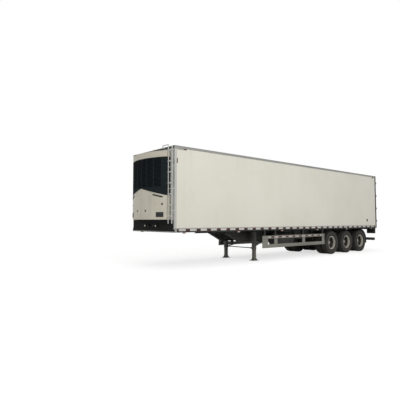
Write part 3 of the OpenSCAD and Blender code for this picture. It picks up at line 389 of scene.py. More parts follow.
@dataclass(frozen=True)
class Lens(Surface):
    """Moulded lamp plastic with fine ribs and a clear coat."""

    colour: Colour
    deep: Colour
    ribs: float = 140.0
    rough: Span = (0.08, 0.2)
    coat: float = 0.6

    def wire(self, graph: Graph, shader: Node) -> None:
        """Wires the plastic's shades and ribs into the shader."""
        where = graph.where()
        inputs = {"Vector": where, "Scale": self.ribs, "Distortion": 0.0}
        ribs = graph.node("TexWave", inputs, bands_direction="Z").outputs["Fac"]
        grain = GRAIN.place(graph, where, Scale=60.0, Slow_Scale=22.0).outputs["Variation"]
        graph.feed(shader, {
            "Base Color": graph.blend(grain, self.colour, self.deep), "Normal": graph.bump(ribs, 0.2, 0.001),
            "Roughness": graph.span(grain, 0.0, 1.0, *self.rough), "Coat Weight": self.coat})


PANEL = Finish("panel_white", (0.80, 0.772, 0.680), (0.757, 0.728, 0.634), (0.32, 0.45), grain=30.0, slow=0.5,
               bump=0.04, streaks=0.13, dust=0.10, dust_top=2.3, dust_scale=2.5, coat=0.15)
ALLOY = Finish("rail_alloy", (0.42, 0.42, 0.40), (0.34, 0.34, 0.32), (0.36, 0.52), 0.55, 60.0, 4.0, 0.06,
               streaks=0.2, dust=0.3, brushed=(0.08, 1.0, 1.0))
POST = Finish("post_alloy", (0.56, 0.56, 0.535), (0.49, 0.49, 0.465), (0.36, 0.5), 0.3, 60.0, 4.0, 0.05,
              streaks=0.2, brushed=(1.0, 1.0, 0.08))
# Greyer than the side panels: painted shade on the front wall.
SHADED_FRONT_WALL = Finish("front_wall_painted_shade", (0.55, 0.54, 0.49), (0.46, 0.45, 0.41), (0.42, 0.56), grain=60.0,
                    slow=2.5, streaks=0.3)
FLOOR = Finish("floor_alloy", (0.47, 0.47, 0.46), (0.36, 0.36, 0.35), (0.38, 0.6), 0.7, 80.0, 3.0, 0.08,
               brushed=(0.05, 1.0, 1.0))
FRONT = Finish("front_black", (0.013, 0.0135, 0.014), (0.019, 0.019, 0.0185), (0.55, 0.7), dust=0.06,
               dust_top=1.8, specular=0.08)
FRAME = Finish("frame_steel", (0.075, 0.073, 0.066), (0.055, 0.054, 0.049), (0.4, 0.55), 0.3, 70.0, 5.0, 0.06,
               streaks=0.3, dust=0.3, dust_top=1.6)
GEAR = Finish("gear_steel", (0.42, 0.42, 0.405), (0.34, 0.34, 0.325), (0.32, 0.48), 0.8, 120.0, 8.0, 0.05)
HINGE = Finish("hinge_dark", (0.13, 0.13, 0.128), (0.09, 0.09, 0.088), (0.42, 0.58), 0.4, 110.0, 9.0)
UNIT_DARK = Finish("unit_black", (0.0170, 0.0225, 0.0265), (0.0215, 0.0270, 0.0305), (0.6, 0.72), grain=220.0,
                   slow=3.0, bump=0.12, bump_depth=0.001, specular=0.02)
UNIT_WHITE = Finish("unit_white", (0.69, 0.65, 0.535), (0.63, 0.59, 0.48), (0.3, 0.42), grain=70.0, slow=1.2,
                    streaks=0.25, coat=0.25)
LADDER = Finish("ladder_alloy", (0.68, 0.68, 0.655), (0.60, 0.60, 0.575), (0.34, 0.5), 0.1, 80.0, 5.0, 0.05)
CHASSIS = Finish("chassis_black", (0.018, 0.018, 0.018), (0.03, 0.029, 0.027), (0.45, 0.65), grain=120.0,
                 slow=4.0, bump=0.1, dust=0.45, dust_top=1.25, dust_scale=5.0)
PIN = Finish("kingpin_steel", (0.34, 0.335, 0.32), (0.24, 0.23, 0.215), (0.22, 0.4), 0.95, 150.0, 12.0, 0.06)
LEG = Finish("leg_grey", (0.06, 0.06, 0.058), (0.09, 0.088, 0.082), (0.4, 0.6), grain=120.0, slow=5.0,
             dust=0.6, dust_top=1.0)
GUARD = Finish("guard_alloy", (0.29, 0.29, 0.25), (0.235, 0.235, 0.20), (0.34, 0.5), 0.45, 70.0, 5.0, 0.06,
               dust=0.4, dust_top=1.1, brushed=(0.08, 1.0, 1.0))
SPRING = Finish("spring_rubber", (0.02, 0.02, 0.02), (0.034, 0.033, 0.031), (0.6, 0.8), grain=160.0, slow=9.0,
                bump=0.12, dust=0.5, dust_top=1.1)
TYRE = Finish("tyre_rubber", (0.019, 0.0178, 0.0155), (0.030, 0.0277, 0.0237), (0.72, 0.88), grain=190.0,
              slow=7.0, bump=0.18, bump_depth=0.0015, dust=0.12, dust_top=1.35, dust_scale=9.0)
WHEEL = WheelFinish("wheel_paint", (0.40, 0.388, 0.336), (0.32, 0.308, 0.26), (0.34, 0.52), 0.2, 90.0, 9.0,
                    0.06, dust=0.1, dust_top=1.3, dust_scale=11.0)
HUB = Finish("hub_dark", (0.07, 0.068, 0.062), (0.11, 0.105, 0.092), (0.4, 0.6), 0.5, 90.0, 12.0, dust=0.4)
MUDGUARD = Finish("mudguard_plastic", (0.018, 0.018, 0.018), (0.028, 0.027, 0.026), (0.5, 0.7), grain=260.0,
                  slow=6.0, bump=0.16, dust=0.2, dust_top=1.3)
# The record gives this black to the fuel tank too, where it is painted shade behind the guards.
AIR_TANK = Finish("air_tank_paint", (0.022, 0.022, 0.022), (0.034, 0.033, 0.031), (0.4, 0.55), dust=0.22)
SEAL = Finish("seal_rubber", (0.014, 0.014, 0.014), (0.022, 0.022, 0.021), (0.6, 0.78), grain=180.0,
              slow=10.0)
LINING = Finish("lining_white", (0.80, 0.80, 0.77), (0.76, 0.76, 0.73), (0.35, 0.5), grain=120.0, slow=1.5,
                bump=0.06)
RED_TAPE = Tape("tape_red", red_part=1.1)
# Its red is darkened nearly to black: the tape's own red, plus painted shade along the rail's lower edge.
SIDE_TAPE = Tape("tape_side", red_part=0.40, red=(0.065, 0.009, 0.010), white=(0.66, 0.64, 0.58))
GUARD_TAPE = Tape("tape_guard", red_part=0.42, start=2.30, white=(0.54, 0.47, 0.44))
REAR_TAPE = Tape("tape_rear", pitch=0.30, red_part=0.5, start=1.2, axis="Y")
RED_LENS = Lens("lamp_red", (0.26, 0.012, 0.01), (0.16, 0.008, 0.007))
MARKER_LENS = Lens("lamp_marker", (0.50, 0.36, 0.30), (0.40, 0.27, 0.22))
AMBER_LENS = Lens("lamp_amber", (0.48, 0.15, 0.012), (0.34, 0.09, 0.008))
CLEAR_LENS = Lens("lamp_clear", (0.62, 0.62, 0.6), (0.5, 0.5, 0.48))
# These finishes are named after the record's material slots.
SLOT_FINISH: dict[str, Surface] = {made.name: made for made in (
    PANEL, ALLOY, FLOOR, FRONT, FRAME, GEAR, HINGE, UNIT_DARK, UNIT_WHITE, LADDER, CHASSIS, PIN, LEG, GUARD,
    SPRING, TYRE, WHEEL, MUDGUARD, RED_LENS, AIR_TANK)}
NODE_FINISH: dict[str, Surface] = {"front_posts": POST, "wall_front": SHADED_FRONT_WALL, "marker_lamps": MARKER_LENS}


class Bench:
    """One piece on the bench: a primitive that is shaped in edit mode and by modifiers."""

    facing_limit = 0.9

    def __init__(self, name: str, kind: str = "cube", **options: object) -> None:
        """Adds the primitive that the piece starts from.

        Args:
            name: The piece's name.
            kind: The mesh primitive's name.
            options: The primitive's own settings.
        """
        if bpy.context.mode != "OBJECT":
            bpy.ops.object.mode_set(mode="OBJECT")
        bpy.ops.object.select_all(action="DESELECT")
        getattr(bpy.ops.mesh, f"primitive_{kind}_add")(**options)
        self.obj = bpy.context.object
        self.obj.name = name
        self.obj.data.name = name

    def edit(self, everything: bool = True) -> "Bench":
        """Goes into edit mode, with all of the mesh selected if asked."""
        if bpy.context.mode == "OBJECT":
            bpy.ops.object.mode_set(mode="EDIT")
        if everything:
            bpy.ops.mesh.select_all(action="SELECT")
        return self

    def leave(self) -> "Bench":
        """Goes back to object mode with this piece active."""
        if bpy.context.mode != "OBJECT":
            bpy.ops.object.mode_set(mode="OBJECT")
        bpy.ops.object.select_all(action="DESELECT")
        self.obj.select_set(True)
        bpy.context.view_layer.objects.active = self.obj
        return self

    def fit(self, lowest: Sequence[float], highest: Sequence[float]) -> "Bench":
        """Scales and moves a two-metre cube so that it fills a box between two corners."""
        self.edit()
        bpy.ops.transform.resize(value=(Vector(highest) - Vector(lowest)) / 2)
        bpy.ops.transform.translate(value=(Vector(highest) + Vector(lowest)) / 2)
        return self

    def bevel(self, width: float, segments: int = 2) -> "Bench":
        """Rounds every edge of the mesh."""
        self.edit()
        bpy.ops.mesh.bevel(offset=width, segments=segments, affect="EDGES")
        return self

    def pick(self, test: Callable[[bpy.types.MeshPolygon], bool]) -> "Bench":
        """Selects the faces that pass a test and stays in edit mode.

        Args:
            test: Takes a face and says whether it is picked.

        Returns:
            The bench, for the next step.
        """
        self.edit(False)
        bpy.ops.mesh.select_mode(type="FACE")
        bpy.ops.mesh.select_all(action="DESELECT")
        bpy.ops.object.mode_set(mode="OBJECT")
        for face in self.obj.data.polygons:
            face.select = test(face)
        bpy.ops.object.mode_set(mode="EDIT")
        return self

    def facing(self, axis: Axis, sign: int = 1) -> "Bench":
        """Selects the faces that look along an axis."""
        aim = Vector(axis.value) * sign
        return self.pick(lambda face: face.normal.dot(aim) > self.facing_limit)

    def inset(self, width: float, depth: float = 0.0) -> "Bench":
        """Insets the picked faces and pushes them in or out."""
        bpy.ops.mesh.inset(thickness=width, depth=depth)
        return self

    def sink(self, depth: float) -> "Bench":
        """Extrudes the picked faces along their normals."""
        bpy.ops.mesh.extrude_region_shrink_fatten(TRANSFORM_OT_shrink_fatten={"value": depth})
        return self

    def move(self, step: Sequence[float]) -> "Bench":
        """Moves the whole mesh."""
        self.edit()
        bpy.ops.transform.translate(value=step)
        return self

    def turn(self, angle: float, axis: str, centre: Sequence[float] = ORIGIN) -> "Bench":
        """Turns the whole mesh about a line through a point.

        Args:
            angle: Degrees, right-handed about the axis.
            axis: The axis letter.
            centre: A point on the line.

        Returns:
            The bench, for the next step.
        """
        self.edit()
        bpy.ops.transform.rotate(value=-math.radians(angle), orient_axis=axis, center_override=centre)
        return self

    def modify(self, kind: str, **settings: object) -> "Bench":
        """Adds a modifier and applies it."""
        self.leave()
        made = self.obj.modifiers.new(kind.lower(), kind)
        for name, value in settings.items():
            setattr(made, name, value)
        bpy.ops.object.modifier_apply(modifier=made.name)
        return self

    def row(self, count: int, step: Sequence[float]) -> "Bench":
        """Repeats the mesh along a step."""
        if count < 2:
            return self
        return self.modify("ARRAY", count=count, use_relative_offset=False, use_constant_offset=True,
                           constant_offset_displace=step)

    def mirrored(self) -> "Bench":
        """Adds the mesh's mirror image across the trailer's middle plane."""
        return self.modify("MIRROR", use_axis=(False, True, False), use_mirror_merge=False)

    def join(self, *others: "Bench") -> "Bench":
        """Joins other pieces into this one."""
        self.leave()
        for other in others:
            other.obj.select_set(True)
        bpy.ops.object.join()
        return self

    def done(self, slot: str | None, finish: Surface, smooth: float = SMOOTH,
             body: str = "trailer") -> bpy.types.Object:
        """Shades the piece, gives it its finish and fastens it to its body.

        Args:
            slot: The record's material slot, if it has one for this piece; not used.
            finish: What its surface is.
            smooth: Edges flatter than this many degrees are shaded smooth.
            body: The CAD body that it moves with.

        Returns:
            The finished object.
        """
        self.edit()
        bpy.ops.mesh.normals_make_consistent(inside=False)
        self.leave()
        bpy.ops.object.transform_apply(location=True, rotation=True, scale=True)
        bpy.ops.object.shade_smooth_by_angle(angle=math.radians(smooth))
        self.obj.data.materials.clear()
        self.obj.data.materials.append(finish.material())
        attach(self.obj, body)
        LOG.info("%s on %s: %d faces", self.obj.name, body, len(self.obj.data.polygons))
        return self.obj


def joined(parts: Sequence[Bench]) -> Bench:
    """Joins pieces into the first of them."""
    return parts[0].join(*parts[1:])


def slab(name: str, lowest: Sequence[float], highest: Sequence[float], edge: float = 0.002) -> Bench:
    """A block with rounded edges that fills a box."""
    return Bench(name).fit(lowest, highest).bevel(edge)


def chain(name: str, points: Sequence[Vector]) -> Bench:
    """A chain of edges through points, drawn from one vertex and left selected.

    Args:
        name: The piece's name.
        points: The places that the chain runs through.

    Returns:
        The bench with the chain, in edit mode.
    """
    bench = Bench(name, "plane", size=0.01).edit()
    bpy.ops.mesh.select_mode(type="VERT")
    bpy.ops.mesh.merge(type="CENTER")
    bpy.ops.transform.translate(value=points[0])
    for here, there in zip(points, points[1:]):
        bpy.ops.mesh.extrude_vertices_move(TRANSFORM_OT_translate={"value": there - here})
    return bench.edit()


def lathe(name: str, profile: Sequence[Span], steps: int, axis: Axis, centre: Sequence[float]) -> Bench:
    """Turns a profile round a level axis through a point.

    Args:
        name: The piece's name.
        profile: Pairs of radius and height along the axis, in order along the surface.
        steps: Faces round the axis.
        axis: The direction of the axis, X or Y.
        centre: The point that the profile's heights start from.

    Returns:
        The bench with the turned mesh.
    """
    along, out = Vector(axis.value), Vector(Axis.Z.value)
    bench = chain(name, [out * radius + along * height for radius, height in profile])
    bpy.ops.mesh.spin(steps=steps, angle=math.tau, center=ORIGIN, axis=along)
    bpy.ops.mesh.select_all(action="SELECT")
    bpy.ops.mesh.remove_doubles(threshold=MERGE)
    bpy.ops.mesh.normals_make_consistent(inside=False)
    return bench.move(centre)


def ring(name: str, section: Sequence[Span], steps: int, axis: Axis, centre: Sequence[float]) -> Bench:
    """Turns a closed section round an axis, as lathe does with an open one."""
    return lathe(name, [*section, section[0]], steps, axis, centre)


@dataclass(frozen=True)
class Head:
    """A domed head of a rivet, bolt or screw; shoulder and crown are parts of its radius and height."""

    radius: float
    height: float
    shoulder: float = 0.25
    crown: Span = (0.72, 0.75)
    steps: int = 10

    def place(self, name: str, axis: Axis, sign: int, at: Sequence[float]) -> Bench:
        """Turns one head.

        Args:
            name: The head's name.
            axis: The axis that it stands out along.
            sign: Which way it stands out.
            at: Where its foot lies.

        Returns:
            The bench with the head.
        """
        wide, tall = self.radius, self.height
        dome = ((wide, -ROOT), (wide, tall * self.shoulder), (wide * self.crown[0], tall * self.crown[1]),
                (0.0, tall))
        return lathe(name, [(radius, sign * height) for radius, height in dome], self.steps, axis, at)


@dataclass(frozen=True)
class Block:
    """A block of the trailer's trim.

    A panel is a face, by its axis and sign, that is inset by a width and a depth, and then pushed deeper.
    """

    name: str
    lowest: Point
    highest: Point
    slot: str | None
    finish: Surface
    edge: float = 0.002
    panel: tuple[Axis, int] | None = None
    inset: Span = (0.0, 0.0)
    deeper: float = 0.0
    count: int = 1
    step: Point = ORIGIN
    both_sides: bool = False

    def build(self) -> None:
        """Shapes the block, repeats it and fastens it to the trailer."""
        bench = slab(self.name, self.lowest, self.highest, self.edge)
        if self.panel:
            bench.facing(*self.panel).inset(*self.inset)
        if self.deeper:
            bench.inset(0.0, self.deeper)
        bench.row(self.count, self.step)
        if self.both_sides:
            bench.mirrored()
        bench.done(self.slot, self.finish)


@dataclass
class OnWheel:
    """What sits on one twin wheel, with the wheel's names and centre."""

    axle: int
    side: Side

    def __post_init__(self) -> None:
        """Finds the wheel's body, the CAD node of its tyres and its centre."""
        self.tag = f"{self.axle}_{self.side.word}"
        self.body, self.node = f"twin_{self.tag}", f"tyres_{self.tag}"
        self.centre = middle(self.node)


@dataclass
class TwinTyres(OnWheel):
    """The two treaded road tyres of one twin wheel."""

    tyre_r: float = 0.542
    half_width: float = 0.15
    tread_half: float = 0.118
    bead_r: float = 0.2863
    flange_r: float = 0.3013
    seat: float = 0.1057
    rim_half: float = 0.115
    twin_pitch: float = 0.346
    grooves: Span = (0.082, 0.028)
    groove_depth: float = 0.013
    groove_half: float = 0.0055
    groove_foot: float = 0.0033
    steps: int = 108
    lug_steps: int = 3
    lug_y: float = 0.088
    lug_tall: float = 0.026
    lug_depth: float = 0.007
    smooth: float = 40.0

    def half_profile(self) -> list[Span]:
        """Half of a tyre's section, from the bead to the middle of the tread.

        Returns:
            Pairs of radius and distance from the tyre's middle plane.
        """
        rim, edge, r, w = self.flange_r, self.rim_half, self.tyre_r, self.half_width
        wall = (r + rim) / 2
        points = [
            (self.bead_r, self.seat), (rim, self.seat), (rim + 0.001, edge + 0.004),
            (rim + 0.012, edge + 0.016), (rim + 0.016, edge + 0.0135), (rim + 0.022, edge + 0.02),
            (wall - 0.04, w - 0.003), (wall - 0.012, w), (wall + 0.02, w), (wall + 0.024, w - 0.003),
            (wall + 0.04, w - 0.004),
            (r - 0.05, w - 0.012), (r - 0.046, w - 0.0085), (r - 0.03, w - 0.012), (r - 0.012, w - 0.021),
            (r - 0.004, self.tread_half)]
        deep, mouth, foot = r - self.groove_depth, self.groove_half, self.groove_foot
        for at in self.grooves:
            points += [(r, at + mouth), (deep, at + foot), (deep, at - foot), (r, at - mouth)]
        return points

    def one(self, name: str, offset: float) -> Bench:
        """Turns one tyre and cuts the lugs of its shoulders.

        Args:
            name: The tyre's name on the bench.
            offset: Distance of its middle plane from the twin wheel's middle.

        Returns:
            The bench with the tyre.
        """
        half = self.half_profile()
        section = half + [(radius, -place) for radius, place in reversed(half)]
        bench = ring(name, section, self.steps, Axis.Y, ORIGIN)
        turn = math.tau / self.steps

        def is_gap(face: bpy.types.MeshPolygon) -> bool:
            """Says whether a face lies in the gap between two shoulder lugs."""
            at = face.center
            if abs(at.y) < self.lug_y or math.hypot(at.x, at.z) < self.tyre_r - self.lug_tall:
                return False
            return round((math.atan2(at.z, at.x) - turn / 2) / turn) % self.lug_steps == 0

        bench.pick(is_gap).sink(-self.lug_depth)
        return bench.move(self.centre + Vector((0.0, offset, 0.0)))

    def build(self) -> None:
        """Builds both tyres as one piece in place of the plain CAD tyres."""
        outer = self.one(f"treaded_{self.node}", self.twin_pitch / 2)
        outer.join(self.one("inner", -self.twin_pitch / 2))
        made = outer.done("tyre_rubber", TYRE, self.smooth, self.body)
        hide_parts(self.node)


@dataclass
class WheelTrim(OnWheel):
    """Small pieces on one twin wheel: the collar of its hub, the collar's screws and the valve."""

    collar_r: Span = (0.072, 0.100)
    collar_slope: float = 0.082
    collar_y: tuple[float, float, float] = (0.110, 0.116, 0.122)
    collar_steps: int = 40
    screws: int = 6
    screw: Span = (0.0065, 0.009)
    screw_edge: float = 0.001
    screw_at: float = 0.089
    stem: tuple[Span, ...] = ((0.0, 0.0), (0.006, 0.0), (0.006, 0.02), (0.0042, 0.022), (0.0042, 0.06),
                              (0.0055, 0.062), (0.0055, 0.078), (0.0, 0.08))
    stem_y: float = 0.155
    stem_z: float = 0.268
    stem_lean: float = 12.0
    stem_steps: int = 12

    def collar(self) -> None:
        """Dark collar round the hub's nose with a ring of screws."""
        (near, far), (foot, edge, top) = self.collar_r, self.collar_y
        section = ((near, foot), (far, foot), (far, edge), (self.collar_slope, top), (near, top))
        sign = self.side.value
        turned = [(radius, sign * y) for radius, y in section]
        collar = ring(f"hub_collar_{self.tag}", turned, self.collar_steps, Axis.Y, self.centre)
        collar.done("wheel_paint", HUB, HARD, self.body)
        heads = []
        for index in range(self.screws):
            head = Bench(f"hub_screws_{self.tag}", "cylinder", vertices=6,
                         radius=self.screw[0], depth=self.screw[1])
            head.turn(90.0, "X").bevel(self.screw_edge).move((0.0, sign * top, self.screw_at))
            heads.append(head.turn(index * 360.0 / self.screws, "Y"))
        joined(heads).move(self.centre).done("gear_steel", GEAR, HARD, self.body)

    def valve(self) -> None:
        """Valve stem that stands out of the outer rim."""
        sign = self.side.value
        stem = lathe(f"valve_{self.tag}", self.stem, self.stem_steps, Axis.Y, ORIGIN)
        if sign < 0:
            stem.turn(180.0, "Z")
        stem.turn(-sign * self.stem_lean, "X")
        stem.move(self.centre + Vector((0.0, sign * self.stem_y, self.stem_z)))
        stem.done("gear_steel", GEAR, body=self.body)

    def build(self) -> None:
        """Builds the trim and fastens it to the wheel."""
        self.collar()
        self.valve()


@dataclass(frozen=True)
class Strip:
    """A thin strip on an upright face that looks sideways, at a distance from the trailer's middle plane."""

    x: Span
    z: Span
    face: float
    thick: float = 0.0008
    edge_part: float = 0.3

    def place(self, name: str, side: Side) -> Bench:
        """Makes the strip on one side of the trailer."""
        lowest, highest = zip(self.x, side.across(self.face, self.face + self.thick), self.z)
        return slab(name, lowest, highest, self.thick * self.edge_part)


@dataclass(frozen=True)
class Strips:
    """Strips of one finish that are one piece on each side of the trailer."""

    name: str
    slot: str
    finish: Surface
    parts: tuple[Strip, ...]

    def build(self, side: Side) -> None:
        """Builds the strips of one side."""
        name = f"{self.name}_{side.word}"
        joined([part.place(name, side) for part in self.parts]).done(self.slot, self.finish)


@dataclass
class LoadBox:
    """Trim of the load box: tapes, rub strips with a band of painted shade, rivets, holdbacks, roof seams and
    corner lamps.
    """

    rail: float = 1.300
    wall: float = 1.290
    strips: tuple[Strips, ...] = (
        Strips("rail_tape", "lamp_red", SIDE_TAPE, (Strip((-6.93, 6.53), (1.235, 1.304), rail),)),
        Strips("corner_tape", "lamp_red", RED_TAPE, (
            Strip((6.14, 6.25), (3.884, 3.916), rail + ROOT), Strip((6.496, 6.534), (3.43, 3.59), wall))),
        Strips("corner_plate", "rail_alloy", ALLOY, (Strip((6.13, 6.60), (3.880, 3.9195), wall, 0.011),)),
        Strips("rub_and_shade_strip", "hinge_dark", SEAL, (
            # A dark band along the rail's lower edge: painted shade under the rail.
            Strip((-6.93, 6.53), (1.191, 1.234), rail, 0.002),
            Strip((-6.980, -6.885), (1.24, 3.96), rail, 0.002),
            Strip((-6.74, -6.58), (3.868, 3.916), wall, 0.009))))
    rivet: Head = Head(0.0062, 0.003)
    rivets: int = 131
    rivet_pitch: float = 0.102
    rivet_x: float = -6.91
    rivet_z: tuple[tuple[str, float], ...] = (("low", 1.317), ("high", 3.975))
    holdback_x: Span = (-6.007, -5.897)
    holdback_z: Span = (1.538, 1.662)
    holdback_thick: float = 0.008

    def rivet_rows(self, side: Side) -> None:
        """Rows of rivets along the upper and lower rails."""
        for name, z in self.rivet_z:
            at = (self.rivet_x, side.value * self.rail, z)
            head = self.rivet.place(f"rivets_{name}_{side.word}", Axis.Y, side.value, at)
            head.row(self.rivets, (self.rivet_pitch, 0.0, 0.0)).done("rail_alloy", ALLOY, DOME)

    def holdback(self, side: Side) -> Block:
        """Flat catch that holds an open door against the wall."""
        y = side.across(self.wall - ROOT, self.wall + self.holdback_thick)
        lowest, highest = zip(self.holdback_x, y, self.holdback_z)
        return Block(f"holdback_{side.word}", lowest, highest, "hinge_dark", SEAL, 0.003,
                     (Axis.Y, side.value), (0.012, -0.003))

    def blocks(self) -> tuple[Block, ...]:
        """Cover strips over the roof's joints, and outline lamps on the front rail in black housings."""
        top, front = high("roof").z, high("top_rails").x
        return (
            Block("roof_seams", (-5.76, -1.19, top - ROOT), (-5.70, 1.19, top + 0.0025), "panel_white", PANEL,
                  0.001, count=10, step=(1.25, 0.0, 0.0)),
            Block("outline_lamp_housings", (front - ROOT, 1.165, 3.924), (front + 0.022, 1.255, 3.996),
                  "front_black", FRONT, 0.006, (Axis.X, 1), (0.01, -0.004), both_sides=True),
            Block("outline_lamp_lenses", (front + 0.014, 1.18, 3.937), (front + 0.026, 1.24, 3.983), None,
                  CLEAR_LENS, 0.005, both_sides=True))

    def build(self) -> None:
        """Builds the load box's trim on both sides."""
        for side in Side:
            for strips in self.strips:
                strips.build(side)
            self.rivet_rows(side)
            self.holdback(side).build()
        for block in self.blocks():
            block.build()


@dataclass
class SideGuards:
    """Tape and bolts of the side guards."""

    face: float = 1.265
    tape: Strips = Strips("guard_tape", "guard_alloy", GUARD_TAPE,
                          (Strip((-1.74, 2.02), (0.893, 0.947), face),))
    posts_x: tuple[float, ...] = (2.193, 1.541, -0.342, -1.847)
    bolt: Head = Head(0.011, 0.007)
    bolt_z: float = 0.535
    bolt_step: Span = (0.12, 0.07)

    def build(self) -> None:
        """Builds the trim of both guards."""
        along, up = self.bolt_step
        for side in Side:
            self.tape.build(side)
            heads = []
            for x in self.posts_x:
                at = (x - along / 2, side.value * self.face, self.bolt_z)
                head = self.bolt.place(f"guard_bolts_{side.word}", Axis.Y, side.value, at)
                heads.append(head.row(2, (along, 0.0, 0.0)).row(2, (0.0, 0.0, up)))
            joined(heads).done("guard_alloy", GEAR, DOME)


@dataclass
class Lamps:
    """Lenses of the marker lamps and of the tail lamps."""

    markers: int = 6
    marker_w: float = 0.11
    marker_margin: Span = (0.012, 0.005)
    marker_out: Span = (0.002, 0.005)
    marker_edge: float = 0.0035
    lamp_x: float = -6.966
    round_r: float = 0.058
    round_z: float = 0.995
    steps: int = 40
    rounds: tuple[tuple[str, float, str | None, Surface], ...] = (
        ("stop", 1.155, "lamp_red", RED_LENS), ("turn", 1.02, None, AMBER_LENS),
        ("reverse", 0.885, None, CLEAR_LENS))

    def marker_lenses(self) -> Block:
        """A raised lens on each marker lamp."""
        (x, _, z0), (end, face, z1) = low("marker_lamps"), high("marker_lamps")
        (side, edge), (root, out) = self.marker_margin, self.marker_out
        pitch = (end - x - self.marker_w) / (self.markers - 1)
        return Block("marker_lenses", (x + side, face - root, z0 + edge),
                     (x + self.marker_w - side, face + out, z1 - edge), "lamp_red", MARKER_LENS,
                     self.marker_edge, count=self.markers, step=(pitch, 0.0, 0.0), both_sides=True)

    def tail(self) -> None:
        """Three round lamps with bright bezels in each lamp box."""
        r = self.round_r
        bezel = ((r - 0.008, 0.004), (r, 0.004), (r, -0.008), (r - 0.003, -0.011), (r - 0.008, -0.009))
        glass = ((r - 0.007, 0.003), (r - 0.007, -0.006), (r * 0.7, -0.012), (r * 0.35, -0.0145),
                 (0.0, -0.015))
        for name, y, slot, finish in self.rounds:
            at = (self.lamp_x, y, self.round_z)
            ring(f"bezel_{name}", bezel, self.steps, Axis.X, at).mirrored().done("gear_steel", GEAR)
            lathe(f"lens_{name}", glass, self.steps, Axis.X, at).mirrored().done(slot, finish, DOME)

    def build(self) -> None:
        """Builds all lenses."""
        self.marker_lenses().build()
        self.tail()


@dataclass(frozen=True)
class Sheet:
    """A sheet before the cooling unit's bowed front, falling by a part of its distance from the middle."""

    out: float
    y: Span
    z: Span
    thick: float
    steps: int
    fall: float = 0.0
    bow_x: float = 5.0336
    bow_r: float = 2.0344

    def place(self, name: str, side: Side = Side.LEFT) -> Bench:
        """Draws the sheet's lower edge along the bow, raises it and gives it its thickness.

        Args:
            name: The sheet's name.
            side: The side of the trailer that it lies on.

        Returns:
            The bench with the sheet.
        """
        radius = self.bow_r + self.out
        first, last = (math.asin(value / radius) for value in side.across(*self.y))
        points = []
        for index in range(self.steps + 1):
            angle = first + (last - first) * index / self.steps
            y = radius * math.sin(angle)
            points.append(Vector((self.bow_x + radius * math.cos(angle), y, self.z[0] - self.fall * abs(y))))
        bench = chain(name, points)
        rise = (0.0, 0.0, self.z[1] - self.z[0])
        bpy.ops.mesh.extrude_edges_move(TRANSFORM_OT_translate={"value": rise})
        bench.leave()
        outward = 1.0 if bench.obj.data.polygons[0].normal.x > 0 else -1.0
        return bench.modify("SOLIDIFY", thickness=self.thick, offset=outward)


@dataclass
class CoolingUnit:
    """Trim of the cooling unit: treads of its ladder, vent slats, cap plate, seals, screws and a top strip of
    painted shade.
    """

    slat: Sheet = Sheet(0.0065, (0.723, 0.953), (1.698, 1.698 + 0.064 / 6), 0.004, 6)
    slats: int = 6
    slat_pitch: float = 0.16 / 6
    slat_edge: float = 0.0008
    plate: Sheet = Sheet(0.0005, (0.40, 0.93), (3.70, 3.80), 0.003, 14)
    plate_edge: float = 0.001
    seam: Sheet = Sheet(-0.004, (-0.985, 0.985), (3.6452, 3.6498), 0.005, 40)
    seal: Sheet = Sheet(-0.004, (-0.0024, 0.0024), (1.61, 2.64), 0.005, 2)
    vee: Sheet = Sheet(0.0005, (0.006, 1.0), (2.627, 2.643), 0.006, 24, 0.2427)
    screw: Head = Head(0.009, 0.005, 0.4, (2 / 3, 0.9))
    screw_z: tuple[tuple[str, float], ...] = (("low", 1.64), ("cap", 3.83))
    screws: int = 13
    screw_angle: float = 4.4
    rungs: int = 7
    rung_z: float = 1.72
    rung_pitch: float = 0.355

    def treads(self) -> Block:
        """Flat treads on the rungs of the ladder beside the unit."""
        lowest, highest = low("ladder"), high("ladder")
        x, deep, tall, margin = highest.x - 0.015, 0.014, 0.017, 0.03
        return Block("ladder_treads", (x - deep, lowest.y + margin, self.rung_z - tall),
                     (x + deep, highest.y - margin, self.rung_z + tall), "ladder_alloy", LADDER, 0.004,
                     (Axis.Z, 1), (0.005, -0.002), count=self.rungs, step=(0.0, 0.0, self.rung_pitch))

    def sheets(self) -> None:
        """Slats over the vents, the cap's plate and seam, the doors' seal and the grille's slanted trim."""
        for side in Side:
            slat = self.slat.place(f"vent_slats_{side.word}", side)
            slat.row(self.slats, (0.0, 0.0, self.slat_pitch)).bevel(self.slat_edge, 1)
            slat.done("unit_black", HINGE)
        self.plate.place("cap_plate").bevel(self.plate_edge, 1).done("unit_white", UNIT_WHITE)
        self.seam.place("cap_seam").done("unit_black", SEAL)
        self.seal.place("door_seal").done("unit_black", SEAL)
        for side in Side:
            self.vee.place(f"vee_trim_{side.word}", side).done("unit_white", UNIT_WHITE)

    def screw_heads(self) -> None:
        """Screws along the panels' edges."""
        axis, radius = self.plate.bow_x, self.plate.bow_r
        for name, z in self.screw_z:
            heads = []
            for index in range(self.screws):
                head = self.screw.place(f"unit_screws_{name}", Axis.X, 1, (axis + radius, 0.0, z))
                heads.append(head.turn((index - self.screws // 2) * self.screw_angle, "Z", (axis, 0.0, z)))
            joined(heads).done("unit_white", GEAR, DOME)

    def rail(self) -> Block:
        """Dark strip on the front roof rail above the unit: painted shade under the roof line."""
        face = high("top_rails").x
        return Block("front_rail_shade_strip", (face - ROOT, -1.16, 3.926), (face + 0.003, 1.16, 3.992),
                     "front_black", HINGE, 0.001)

    def build(self) -> None:
        """Builds the unit's trim."""
        self.treads().build()
        self.sheets()
        self.screw_heads()
        self.rail().build()


